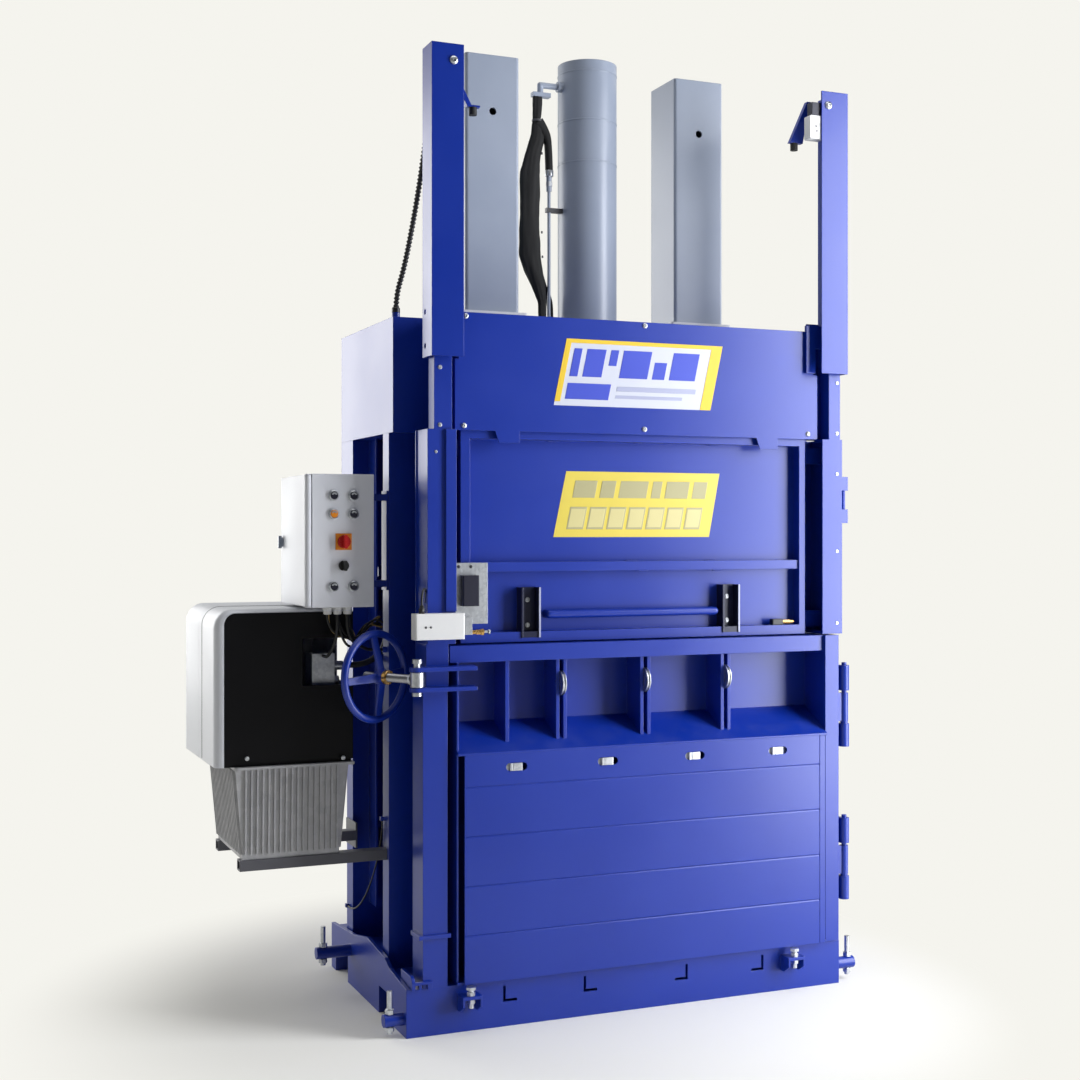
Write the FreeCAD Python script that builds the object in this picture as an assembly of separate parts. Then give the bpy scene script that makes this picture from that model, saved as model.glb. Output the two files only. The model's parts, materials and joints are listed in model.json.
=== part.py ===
import FreeCAD, Part
import math
import os
from FreeCAD import Vector

# Upright recycling baler. Millimetres. X runs to the right along the front, Y to the back, Z up.
# Pieces are drawn from the base's front left bottom corner and moved at the end, so that the part's
# origin is the middle of the base, on the floor.

# ---- driving sizes ----
chamber_width = 1200.0
chamber_depth = 650.0
base_left_margin = 174.0      # base edge to chamber, side of the lock and the power pack
base_right_margin = 88.0
base_height = 138.0
base_plate = 10.0
side_plate = 12.0
sheet = 6.0                   # walls, posts and door plates
door_height = 982.0
door_proud = 23.0             # door skin in front of the base
door_core = 135.0             # door skin front to door inner sheet
door_gap = 4.0
opening_height = 630.0        # door top to head
head_height = 346.0
stiffener_depth = 40.0
neck_height = 209.0           # head underside to tower foot
tower_height = 902.0
tower_width = 98.0
tower_depth = 85.0
tube_size = 182.0
tube_wall = 6.0
tube_pitch = 742.0
tube_above_head = 874.0
bore_radius = 80.0
barrel_wall = 18.0
barrel_above_head = 901.0
rod_radius = 45.0
flap_width = 1179.0
flap_depth = 40.0
flap_travel = 920.0
platen_thickness = 74.0
lock_height = 1034.0
spindle_radius = 13.0
wheel_radius = 125.0
wheel_tube = 11.0
hinge_radius = 16.0
pin_radius = 8.0
tank_top_width = 335.0
tank_bottom_width = 288.0
tank_length = 379.0
tank_height = 273.0
hood_width = 413.0
hood_length = 464.0
hood_height = 460.0
cabinet_width = 186.0
cabinet_depth = 300.0
cabinet_height = 390.0
button_radius = 11.0

# ---- clearances ----
slide_gap = 0.5
running_gap = 0.05

# ---- levels and planes that follow ----
base_width = base_left_margin + chamber_width + base_right_margin
centre_x = base_left_margin + chamber_width / 2
wall_left = base_left_margin
wall_right = base_left_margin + chamber_width
door_front = -door_proud
door_inner = door_front + door_core
door_back = door_inner + sheet
frame_front = door_back + door_gap
chamber_back = frame_front + chamber_depth
base_depth = chamber_back + sheet + stiffener_depth
door_bottom = base_height + door_gap
door_top = door_bottom + door_height
head_bottom = door_top + opening_height
head_top = head_bottom + head_height
tower_foot = head_bottom + neck_height
tower_top = tower_foot + tower_height
ram_y = frame_front + chamber_depth / 2 + 4.0
barrel_radius = bore_radius + barrel_wall

UP = Vector(0, 0, 1)
RIGHT = Vector(1, 0, 0)
BACK = Vector(0, 1, 0)

# ---- places that several pieces share ----
wall_out_left = wall_left - sheet
wall_out_right = wall_right + sheet
post_left = wall_out_left - 148
guide_left = wall_left - 9            # right edge of the left tower
guide_right = wall_right + 26         # left edge of the right flap guide
rail_left = guide_left - 34           # running face of each flap rail
rail_right = guide_right + 34
rail_thick = 12.0
tower_in_right = wall_right + 4
rail_front = 55.0
rail_back = 80.0
flap_front = 36.0
flap_back = flap_front + flap_depth
flap_left = wall_left + 4
flap_right = flap_left + flap_width
flap_bottom = door_top + door_gap
flap_top = head_bottom + 8
buffer_bottom = flap_top + flap_travel + 3
column_depth = 95.0
lock_column_left = wall_left - 124
lock_column_right = wall_left - 49
lock_column_top = lock_height - 31
hinge_x = base_width + hinge_radius
hinge_y = -5.0
bar_thick = 12.0
eye_half = 22.7                       # half the height of the swing bolt's eye
guide_half = 11.0                     # half the height of a strap guide
guide_z = door_bottom + 624
bolt_x = wall_left - 155
bolt_y = -40.0
bolt_turn = math.radians(29)
bolt_way = Vector(-math.sin(bolt_turn), math.cos(bolt_turn), 0)
bolt_side = Vector(math.cos(bolt_turn), math.sin(bolt_turn), 0)
strap_pitch = 296.0
strap_slot = 24.0
strap_places = [centre_x + strap_pitch * k for k in (-1.5, -0.5, 0.5, 1.5)]
roller_radius = 38.0
roller_places = [centre_x - 281, centre_x, centre_x + 281]
roller_y = 28.0
rib_front = 18.0
roller_z = door_top - 122
shelf_front = door_bottom + 664
shelf_back = door_bottom + 742
hinge_levels = [door_bottom + 130, door_bottom + 622]     # foot of each hinge
hinge_tall = 262.0
lower_knuckle = 74.0
upper_knuckle = 81.0
hose_y = ram_y - 11
line_x = centre_x - 143
cabinet_right = post_left - 72
cabinet_left = cabinet_right - cabinet_width
cabinet_front = frame_front + 28
cabinet_back = cabinet_front + cabinet_depth
cabinet_bottom = door_top + 111
cabinet_top = cabinet_bottom + cabinet_height
cabinet_wall = 3.0
cabinet_hinge = Vector(cabinet_left - 10, cabinet_front + 7, 0)
cabinet_door_round = 9.7
gland_y = cabinet_front + 45
panel_x = (cabinet_left + cabinet_right) / 2 + 1
button_places = [(panel_x + dx, cabinet_bottom + dz) for dz in (327, 273.5, 62) for dx in (-29.6, 29.6)]
switch_z = cabinet_bottom + 192
selector_z = cabinet_bottom + 122
pack_x = post_left - 294
pack_y = 435.0
tank_top = door_bottom + 620
tank_bottom = tank_top - tank_height + 8
hood_bottom = tank_top + 8
hood_top = hood_bottom + hood_height
hood_right = post_left - 107
hood_left = hood_right - hood_width
hood_front_y = 250.0
hood_back = hood_front_y + hood_length + 6
notch_left = hood_right - 153
notch_bottom = hood_bottom + 230
notch_top = hood_bottom + 370
notch_back = 430.0
port_y = 340.0
port_z = hood_bottom + 280

parts = {}


def block(x0, x1, y0, y1, z0, z1):
    return Part.makeBox(x1 - x0, y1 - y0, z1 - z0, Vector(x0, y0, z0))


def rod(radius, start, direction, length):
    return Part.makeCylinder(radius, length, start, direction)


def ring(outer, inner, start, direction, length):
    return rod(outer, start, direction, length).cut(rod(inner, start, direction, length))


def plate_from(corners, thickness):
    face = Part.Face(Part.makePolygon(corners + corners[:1]))
    return face.extrude(thickness)


def side_profile(points, x0, x1):
    """A plate from (y, z) corners, between two x planes."""
    return plate_from([Vector(x0, y, z) for y, z in points], Vector(x1 - x0, 0, 0))


def front_profile(points, y0, y1):
    """A plate from (x, z) corners, between two y planes."""
    return plate_from([Vector(x, y0, z) for x, z in points], Vector(0, y1 - y0, 0))


def plan_profile(points, z0, z1):
    """A plate from (x, y) corners, between two z planes."""
    return plate_from([Vector(x, y, z0) for x, y in points], Vector(0, 0, z1 - z0))


def weld(shapes):
    return shapes[0].multiFuse(shapes[1:]).removeSplitter()


def group(shapes):
    return Part.makeCompound(shapes)


def box_tube(x0, x1, y0, y1, z0, z1, wall):
    inner = block(x0 + wall, x1 - wall, y0 + wall, y1 - wall, z0 - 1, z1 + 1)
    return block(x0, x1, y0, y1, z0, z1).cut(inner)


def lying_tube(x0, x1, y0, y1, z0, z1, wall):
    inner = block(x0 - 1, x1 + 1, y0 + wall, y1 - wall, z0 + wall, z1 - wall)
    return block(x0, x1, y0, y1, z0, z1).cut(inner)


def hexagon(x, y, z0, z1, across):
    reach = across / math.sqrt(3)
    turns = [math.radians(60 * k) for k in range(6)]
    return plan_profile([(x + reach * math.cos(a), y + reach * math.sin(a)) for a in turns], z0, z1)


def edges_along(shape, direction, test):
    """Straight edges of a shape that run along a direction and whose middle passes a test."""
    found = []
    for edge in shape.Edges:
        if not isinstance(edge.Curve, Part.Line):
            continue
        if abs(abs(edge.tangentAt(edge.FirstParameter).dot(direction)) - 1) > 1e-6:
            continue
        if test(edge.CenterOfMass):
            found.append(edge)
    return found


def cord_tube(name, points, radius):
    """A tube of straight runs and tangent arcs; each arc is as large as its two runs allow."""
    spots = [Vector(*p) for p in points]
    edges = []
    radii = []
    start = spots[0]
    for before, spot, after in zip(spots, spots[1:], spots[2:]):
        into = spot - before
        out = after - spot
        turn = into.getAngle(out)
        back = 0.45 * min(into.Length, out.Length)
        bend = back / math.tan(turn / 2)
        radii.append(round(bend))
        into.normalize()
        out.normalize()
        first = spot - into * back
        last = spot + out * back
        inward = out - into
        inward.normalize()
        nearest = spot + inward * (math.hypot(back, bend) - bend)
        edges.append(Part.LineSegment(start, first).toShape())
        edges.append(Part.Arc(first, nearest, last).toShape())
        start = last
    edges.append(Part.LineSegment(start, spots[-1]).toShape())
    path = Part.Wire(edges)
    outline = Part.Wire(Part.makeCircle(radius, spots[0], spots[1] - spots[0]))
    tube = path.makePipeShell([outline], True, False)
    filled = tube.Volume / (math.pi * radius * radius * path.Length)
    print(name, "bend radii", radii, "length", round(path.Length), "filled", round(filled, 3))
    return tube


# ---- frame ----

def anchor_lugs():
    """Where the bolts of the two front lugs stand."""
    return [Vector(x, -36, base_height - 29) for x in (wall_left + 11, wall_right - 101)]


def anchor_stubs():
    """Round stubs: start, direction, length, radius, then the bolt's place along the stub."""
    return [
        (Vector(-60, 30, 50), RIGHT, 66, 19, Vector(-41, 30, 50)),
        (Vector(-112, 0.725 * base_depth, 110), RIGHT, 118, 19, Vector(-89, 0.725 * base_depth, 110)),
        (Vector(base_width - 6, 30, 55), RIGHT, 76, 19, Vector(base_width + 50, 30, 55)),
    ]


def make_base_frame():
    w, d, h, t = base_width, base_depth, base_height, base_plate
    left_edge = [(0, 0), (d, 0), (d, h + 10), (0.685 * d, h + 30), (0.49 * d, h + 58),
                 (215, h + 42), (165, h + 22), (0, h + 2)]
    pockets = [(138, 271), (d - 201, d - 54)]
    solids = [
        block(0, w, 0, d, h - t, h),
        block(0, w, 0, t, 0, h),
        block(0, w, d - t, d, 0, h),
        block(0, w, 0, 60, 0, t),
        block(0, w, d - 60 + t, d, 0, t),
        block(w / 2 - 15, w / 2 + 15, 0, d, 0, t),
        side_profile(left_edge, 0, side_plate),
        block(w - side_plate, w, 0, d, 0, h),
    ]
    for y0, y1 in pockets:
        solids.append(block(0, w, y0 - sheet, y0, 0, h - t))
        solids.append(block(0, w, y1, y1 + sheet, 0, h - t))
    for start, direction, length, radius, _ in anchor_stubs():
        solids.append(rod(radius, start, direction, length))
    for spot in anchor_lugs():
        solids.append(block(spot.x - 30, spot.x + 30, -50, 2, spot.z - 5, spot.z + 5))
        for x in (spot.x - 30, spot.x + 24):
            cheek = [(-50, spot.z), (2, spot.z), (2, spot.z - 44), (-20, spot.z - 44), (-50, spot.z - 25)]
            solids.append(side_profile(cheek, x, x + 6))
    cuts = []
    for y0, y1 in pockets:
        cuts.append(block(-1, side_plate + 1, y0, y1, -1, 82))
        cuts.append(block(w - side_plate - 1, w + 1, y0, y1, -1, 82))
    for x in strap_places:
        half = strap_slot / 2
        cuts.append(block(x - half, x + half, 30, d - 60, h - t - 1, h + 1))
    for dx, way in ((-472, 1), (-212, 1), (133, -1), (403, -1)):
        x = centre_x + dx
        foot = sorted((x - 4 * way, x + 40 * way))
        cuts.append(block(x - 4, x + 4, -1, t + 1, 72, 119))
        cuts.append(block(foot[0], foot[1], -1, t + 1, 72, 80))
    for bolt in anchor_lugs() + [stub[4] for stub in anchor_stubs()]:
        cuts.append(rod(pin_radius + running_gap, bolt - UP * 40, UP, 80))
    return weld(solids).cut(group(cuts))


def make_anchor_bolts():
    bolts = []
    for spot in anchor_lugs():
        shapes = [
            rod(pin_radius, spot - UP * 31, UP, 60),
            hexagon(spot.x, spot.y, spot.z + 5, spot.z + 16, 22),
            hexagon(spot.x, spot.y, spot.z + 22, spot.z + 30, 26),
            hexagon(spot.x, spot.y, spot.z - 17, spot.z - 5, 22),
        ]
        bolts.append(weld(shapes))
    for start, _, _, radius, spot in anchor_stubs():
        low = spot.z - radius
        high = spot.z + radius
        shapes = [
            rod(pin_radius, Vector(spot.x, spot.y, low - 20), UP, high + 66 - low + 20),
            hexagon(spot.x, spot.y, high, high + 13, 24),
            hexagon(spot.x, spot.y, low - 12, low, 24),
        ]
        bolts.append(weld(shapes))
    return group(bolts)


def channel_post(y0, y1, z0, z1, x_web, x_wall):
    """A post open towards the wall: web outside, two flanges."""
    return [
        block(x_web, x_web + sheet, y0, y1, z0, z1),
        block(x_web, x_wall, y0, y0 + sheet, z0, z1),
        block(x_web, x_wall, y1 - sheet, y1, z0, z1),
    ]


def make_left_side_wall():
    z0, z1 = base_height, head_bottom
    front, back = frame_front + 113, chamber_back - 142
    x, t = wall_out_left, sheet
    solids = [block(x, wall_left, frame_front, chamber_back, z0, z1)]
    solids += channel_post(front, front + 60, z0, z1, post_left, x)
    solids += channel_post(back, back + 70, z0, z1, post_left, x)
    solids.append(block(post_left, post_left + t, back + 70, chamber_back - 4, cabinet_bottom + 15, z1))
    solids.append(block(x - 108, x - 34, column_depth, column_depth + t, z0, z1))
    solids.append(block(x - 40, x - 34, column_depth, frame_front + t, z0, z1))
    solids.append(block(x - 40, x, frame_front, frame_front + t, z0, z1))
    solids.append(block(x - 93, x - 87, back - 77, back + t, z0 + 112, z1))
    for share in (0.18, 0.45, 0.66):
        level = z0 + share * (z1 - z0)
        solids.append(block(x - 60, x, front + 60, back, level, level + t))
        solids.append(block(x - 60, x, front + 60, back, level + 54, level + 60))
        solids.append(block(x - 60, x - 54, front + 60, back, level, level + 60))
    arm_y = front + 5
    for level in (cabinet_bottom + 55, cabinet_bottom + 315):
        solids.append(block(cabinet_right, post_left, arm_y, arm_y + 50, level, level + 20))
    for x0, x1 in ((cabinet_right, cabinet_right + t), (post_left - t, post_left)):
        solids.append(block(x0, x1, arm_y, arm_y + 50, cabinet_bottom + 45, cabinet_bottom + 345))
    solids.append(rod(9, Vector(post_left - 12, front + 27, door_top - 24), RIGHT, 14))
    for y, level in ((front + 45, shelf_front - 228), (back + 40, base_height + 90)):
        solids.append(block(post_left - 12, post_left, y, y + 12, level, level + 12))
    slot_x, slot_z = post_left + 91, door_top + 201
    slot = rod(14.5, Vector(slot_x, back - 1, slot_z - 10), BACK, 72)
    slot = slot.fuse(rod(14.5, Vector(slot_x, back - 1, slot_z + 10), BACK, 72))
    slot = slot.fuse(block(slot_x - 14.5, slot_x + 14.5, back - 1, back + 71, slot_z - 10, slot_z + 10))
    return weld(solids).cut(slot)


def make_right_side_wall():
    z0, z1 = base_height, head_bottom
    x, w, t = wall_out_right, base_width, sheet
    back = chamber_back - 142
    solids = [
        block(wall_right, x, frame_front, chamber_back, z0, z1),
        box_tube(x - 2, w, frame_front, frame_front + 78, z0, z1, t),
        block(w - t, w, back, back + 70, z0, z1),
        block(x, w, back, back + t, z0, z1),
        block(x, w, back + 64, back + 70, z0, z1),
    ]
    for share in (0.18, 0.45, 0.71):
        level = z0 + share * (z1 - z0)
        solids.append(block(x, x + 60, frame_front + 78, back, level, level + t))
        solids.append(block(x, x + 60, frame_front + 78, back, level + 54, level + 60))
        solids.append(block(x + 54, x + 60, frame_front + 78, back, level, level + 60))
    return weld(solids)


def make_rear_wall():
    z0, z1 = base_height, head_bottom
    y0, y1, y2 = chamber_back, chamber_back + sheet, base_depth
    x0, x1 = wall_out_left, wall_out_right
    solids = [block(x0, x1, y0, y1, z0, z1)]
    for x in (x0, x1 - sheet):
        solids.append(block(x, x + sheet, y1, y2, z0, z1))
    count = 6
    for k in range(count):
        level = z0 + (k + 0.6) * (z1 - z0) / count
        solids.append(block(x0, x1, y1, y2, level, level + sheet))
        solids.append(block(x0, x1, y1, y2, level + 74, level + 80))
        solids.append(block(x0, x1, y2 - sheet, y2, level, level + 80))
    return weld(solids)


def make_lock_column():
    x0, x1, top = lock_column_left, lock_column_right, lock_column_top
    collar = base_height + 154
    solids = [
        box_tube(x0, x1, 0, column_depth, base_height, top, sheet),
        block(x0 - 14, x1 + 8, -8, 0, collar - 12, collar),
        block(x0 - 14, x0, 0, column_depth - 25, collar - 12, collar),
        block(x0 - 36, x0 + 26, -10, 0, base_height + 14, base_height + 22),
        block(x0 - 14, x0 - 6, -8, 0, base_height, base_height + 15),
        block(x0 + 12, x0 + 26, -8, 0, base_height, base_height + 15),
    ]
    curb = block(x0 - 36, x0 - 26, -10, column_depth, base_height, base_height + 38)
    solids.append(curb.makeFillet(22, edges_along(curb, RIGHT, lambda c: c.y < 0 and c.z > base_height + 1)))
    return weld(solids)


def make_left_flap_guide():
    """An upright channel, open to the right, with the flap's rail inside and necks above and below."""
    x0, x1, t = guide_left - 101, guide_left - 15, sheet
    z0, z1 = flap_bottom + 2, head_bottom
    neck_right = lock_column_right + 3
    switch_top = flap_bottom + 98
    solids = [
        block(x0, x0 + t, 0, column_depth, z0, z1),
        block(x0, x1, 0, t, z0, z1),
        block(x0, rail_left, column_depth - t, column_depth, z0, z1),
        block(rail_left - rail_thick, rail_left, rail_front, column_depth, z0, z1),
        block(x0, rail_left, 0, column_depth, z0, z0 + 8),
        block(x0, x1, 0, t, z0, z0 + 8),
        block(x0, x1, 0, 50, z1 - 8, z1),
        block(x1 - 32, x1, -8, 0, switch_top, z1),
        block(x1 - 12, x1, t - 1, 20, z0 + 66, z0 + 96),
        box_tube(lock_column_left + 10, neck_right, 0, column_depth, lock_column_top, z0 + 1, t),
        box_tube(guide_left - 81, guide_left - 26, 0, 50, z1 - 2, tower_foot + 77, t),
    ]
    return weld(solids)


def make_right_flap_guide():
    """The same channel mirrored, with two lugs and a rod on its right."""
    x0, x1, t = guide_right, guide_right + 74, sheet
    z0, z1 = flap_bottom, head_bottom
    solids = [
        block(x1 - t, x1, 0, frame_front, z0, z1),
        block(x0, x1, 0, t, z0, z1),
        block(rail_right, x1, frame_front - t, frame_front, z0, z1),
        block(rail_right, rail_right + rail_thick, rail_front, frame_front, z0, z1),
        block(x0, x1, 0, frame_front, z0, z0 + 8),
        block(x0, x1, 0, 50, z1 - 8, z1),
        box_tube(x0 + 24, x0 + 66, 0, 50, z1 - 2, tower_foot + 77, t),
        rod(8, Vector(x1 + 12, 15, z0 + 357), UP, 149),
    ]
    for level in (z0 + 357, z0 + 462):
        solids.append(block(x1 - 1, x1 + 22, 0, 30, level, level + 44))
    return weld(solids)


def tower_channel(x_web, x_front, x_rail, way):
    """A tower of folded plate, open towards the flap, with the rail on its back return.

    The way is 1 where the web is on the left, and -1 where it is on the right.
    """
    y0, y1, top, t = -30, rail_front, tower_top, 5

    def span(a, b, near, far, low, high):
        return block(min(a, b), max(a, b), near, far, low, high)

    return [
        span(x_web, x_web + t * way, y0, y1, tower_foot, top),
        span(x_web, x_front, y0, y0 + t, tower_foot, top),
        span(x_web, x_rail, y1 - t, y1, tower_foot, top),
        span(x_web, x_rail, y0, y1, top - t, top),
        span(x_rail - rail_thick * way, x_rail, y1, rail_back, head_bottom, top),
    ]


def make_left_tower():
    x0, x1 = guide_left - tower_width, guide_left
    y1, top = rail_front, tower_top
    arm = tower_top - 157
    bracket = [(rail_left - 3, arm + 82), (x1 + 7, arm + 82), (x1 + 48, arm + 6), (x1 + 75, arm + 6),
               (x1 + 75, arm), (x1 + 36, arm), (x1 - 1, arm + 62), (rail_left - 3, arm + 62)]
    solids = tower_channel(x0, x1, rail_left, 1)
    solids += [
        front_profile(bracket, y1 - 17, y1),
        rod(12, Vector(x0 + 23, y1 - 1, top - 165), BACK, 31),
        Part.makeSphere(12, Vector(x0 + 23, y1 + 30, top - 165)),
        rod(12, Vector(x0 + 23, y1 + 30, top - 185), UP, 20),
    ]
    tower = weld(solids)
    for level in (tower_foot + 33, tower_foot + 132):
        tower = tower.cut(rod(pin_radius, Vector(x0 - 1, 32, level), RIGHT, 8))
    return tower


def make_right_tower():
    x0, x1 = tower_in_right, tower_in_right + tower_width
    y1, top = rail_front, tower_top
    arm = tower_top - 157
    bracket = [(rail_right + 6, arm + 138), (rail_right + 6, arm + 128), (x0 - 3, arm + 128), (x0 - 28, arm),
               (x0 - 75, arm), (x0 - 11, arm + 138)]
    solids = tower_channel(x1, x0, rail_right, -1)
    solids += [
        front_profile(bracket, y1 - 17, y1),
        block(x0 - 33, x0 + 1, 8, 19, tower_foot + 3, tower_foot + 155),
        block(x0, x1 - 1, 8, 19, tower_foot + 82, tower_foot + 155),
    ]
    return weld(solids)


def make_flap_buffers():
    top = tower_top - 157
    places = [guide_left + 55, tower_in_right - 56]
    return group([rod(12, Vector(x, 46, buffer_bottom), UP, top - buffer_bottom) for x in places])


def make_limit_switch():
    x0, z0 = tower_in_right - 40, tower_top - 154
    box = block(x0, x0 + 52, -25, 10, z0, z0 + 74)
    box = box.makeFillet(4, edges_along(box, BACK, lambda c: c.x < x0 + 1))
    return weld([box, block(x0 + 10, x0 + 47, -22, 8, z0 + 73, z0 + 117)])


def make_head_cover():
    x0, x1, y0, y1 = wall_left - 19, wall_right + 19, 20, 23
    z0, z1 = head_bottom, head_top
    solids = [
        block(x0, x1, y0, y1, z0, tower_foot - 1),
        block(guide_left + 1, tower_in_right - 1, y0, y1, z0, z1),
        block(guide_left + 1, tower_in_right - 1, y0, y1 + 7, z1 - 3, z1),
        block(x0, x0 + 3, y0, rail_front, z0, tower_foot - 1),
        block(x1 - 3, x1, y0, rail_front, z0, tower_foot - 1),
        block(rail_left - rail_thick, x0 + 3, rail_front - 3, rail_front, z0, tower_foot - 1),
        block(x1 - 3, rail_right + rail_thick, rail_front - 3, rail_front, z0, tower_foot - 1),
    ]
    for place in (centre_x - 451, centre_x + 436):
        tongue = [(place - 43, z0 + 1), (place - 30, z0 - 35), (place + 36, z0 - 35), (place + 36, z0 + 1)]
        solids.append(front_profile(tongue, y0, y1))
    return weld(solids)


def make_head_box():
    z0, z1 = head_bottom, head_top
    x0, x1 = post_left, base_width
    y0, y1 = frame_front + 71, chamber_back - 4
    t = sheet
    left_in, right_in = wall_left - 14, wall_right + 10
    solids = [
        block(x0, x0 + t, y0, y1, z0, z1),
        block(x1 - t, x1, y0, y1, z0, z1),
        block(x0, left_in + t, y0, y0 + t, z0, z1),
        block(right_in, x1, y0, y0 + t, z0, z1),
        block(x0, x1, y1 - t, y1, z0, z1),
        block(rail_left - rail_thick, rail_right + rail_thick, rail_back, rail_back + t, z0, z1),
        block(left_in, left_in + t, rail_back, y0 + t, z0, z1),
        block(right_in, right_in + t, rail_back, y0 + t, z0, z1),
        block(left_in, right_in + t, rail_back, y1, z1 - 8, z1),
        block(x0, x1, y0, y1, z1 - 8, z1),
        block(x0, wall_left, y0, y1, z0, z0 + t),
        block(wall_right, x1, y0, y1, z0, z0 + t),
        rod(12, Vector(post_left + 16, y0 + 22, z1 - 1), UP, 16),
        rod(16, Vector(post_left + 68, ram_y, z0 - 30), UP, 32),
    ]
    for y in (ram_y - tube_size / 2 - 72, ram_y + tube_size / 2 + 22):
        solids.append(lying_tube(x0, x1, y, y + 50, z0 + 146, z1 - 4, 8))
    cuts = [rod(barrel_radius + slide_gap, Vector(centre_x, ram_y, z1 - 20), UP, 40)]
    for x in (centre_x - tube_pitch / 2, centre_x + tube_pitch / 2):
        half = tube_size / 2 + 4
        cuts.append(block(x - half, x + half, ram_y - half, ram_y + half, z1 - 20, z1 + 20))
    return weld(solids).cut(group(cuts))


def make_tube_guides():
    frames = []
    for x in (centre_x - tube_pitch / 2, centre_x + tube_pitch / 2):
        inner = tube_size / 2 + 1
        outer = tube_size / 2 + 20
        frame = block(x - outer, x + outer, ram_y - outer, ram_y + outer, head_top, head_top + 56)
        frame = frame.makeFillet(6, edges_along(frame, UP, lambda c: True))
        hole = block(x - inner, x + inner, ram_y - inner, ram_y + inner, head_top - 1, head_top + 57)
        frames.append(frame.cut(hole))
    return group(frames)


def make_cylinder_barrel():
    axis = Vector(centre_x, ram_y, 0)
    foot, top = head_top - 200, head_top + barrel_above_head
    r = barrel_radius
    port = top - 80
    corner = Vector(line_x - 31, hose_y, port)
    solids = [
        rod(r, axis + UP * foot, UP, top - foot),
        rod(50, axis + UP * (top - 1), UP, 8),
        rod(10, corner, RIGHT, centre_x - r - corner.x + 6),
        rod(17, Vector(centre_x - r - 16, hose_y, port), RIGHT, 22),
        Part.makeSphere(10, corner),
        rod(10, corner - UP * 27, UP, 27),
        block(line_x - 60, line_x + 2, hose_y - 12, hose_y + 12, port - 40, port - 26),
        block(centre_x - 134, centre_x + 134, ram_y - 130, ram_y + 130, head_top, head_top + 30),
    ]
    for level in (top - 36, top - 196, top - 333):
        solids.append(rod(r + 1, axis + UP * level, UP, 4))
    barrel = weld(solids)
    barrel = barrel.cut(rod(bore_radius, axis + UP * (foot + 30), UP, top - foot - 60))
    return barrel.cut(rod(rod_radius + running_gap, axis + UP * (foot - 1), UP, 40))


def make_steel_line():
    start = Vector(line_x, hose_y, head_top)
    solids = [
        rod(5.5, start, UP, 477),
        rod(9, start + UP * 475, UP, 57),
        block(line_x - 11, centre_x - 80, hose_y - 8, hose_y + 8, head_top + 405, head_top + 420),
    ]
    return weld(solids).cut(rod(barrel_radius, Vector(centre_x, ram_y, head_top), UP, 600))


def branch_points():
    low = Vector(line_x, hose_y, head_top + 532)
    high = Vector(line_x - 9, hose_y, head_top + barrel_above_head - 120)
    return [high, high - UP * 70, low + UP * 70, low]


def sleeve_points():
    z = head_top
    top = z + barrel_above_head - 120
    steps = [(-31, 0), (-31, 68), (-45, 163), (-63, 255), (-68, 343), (-67, 449), (-59, 554), (-46, 661)]
    points = [(line_x + dx, hose_y, z + dz) for dx, dz in steps]
    return points + [(line_x - 46, hose_y, top)]


def conduit_points():
    start = Vector(guide_left - 75, rail_front + 30, tower_top - 185)
    end = Vector(post_left + 16, frame_front + 93, head_top + 15)
    steps = [(0, 0, -50), (-6, 13, -120), (-16, 37, -230), (-28, 65, -340), (-40, 97, -440)]
    return [start] + [start + Vector(*step) for step in steps] + [end + UP * 50, end]


def make_hinge_brackets():
    x1 = hinge_x - 4
    x0 = base_width
    brackets = []
    for low in hinge_levels:
        high = low + hinge_tall
        pin = Vector(hinge_x, hinge_y, low)
        solids = [
            block(x0, x1, 20, frame_front + 68, low, high),
            block(x0, x1, hinge_y, 21, low, low + lower_knuckle),
            block(x0, x1, hinge_y, 21, high - upper_knuckle, high),
            rod(hinge_radius, pin, UP, lower_knuckle),
            rod(12, pin + UP * (lower_knuckle - 1), UP, 9),
            rod(hinge_radius, pin + UP * (hinge_tall - upper_knuckle), UP, upper_knuckle),
            rod(pin_radius, pin + UP, UP, hinge_tall + 8),
        ]
        brackets.append(weld(solids))
    return group(brackets)


# ---- switches and cabinet ----

def make_interlock_switch():
    x1, z0 = guide_left, flap_bottom + 18
    box = block(x1 - 150, x1, -40, 0, z0, z0 + 75)
    box = box.makeFillet(5, edges_along(box, UP, lambda c: c.y < -1))
    end = block(x1 - 1, x1 + 24, -34, -6, z0 + 12, z0 + 63)
    return weld([box, end])


def make_flap_switch():
    x0, z0 = guide_left, flap_bottom + 58
    plate = block(x0 - 25, x0 + 92, 20, 24, z0, z0 + 179)
    body = block(x0 + 7, x0 + 57, -6, 20, z0 + 53, z0 + 143)
    body = body.makeFillet(3, edges_along(body, UP, lambda c: c.y < 0))
    return weld([plate, body])


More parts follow.
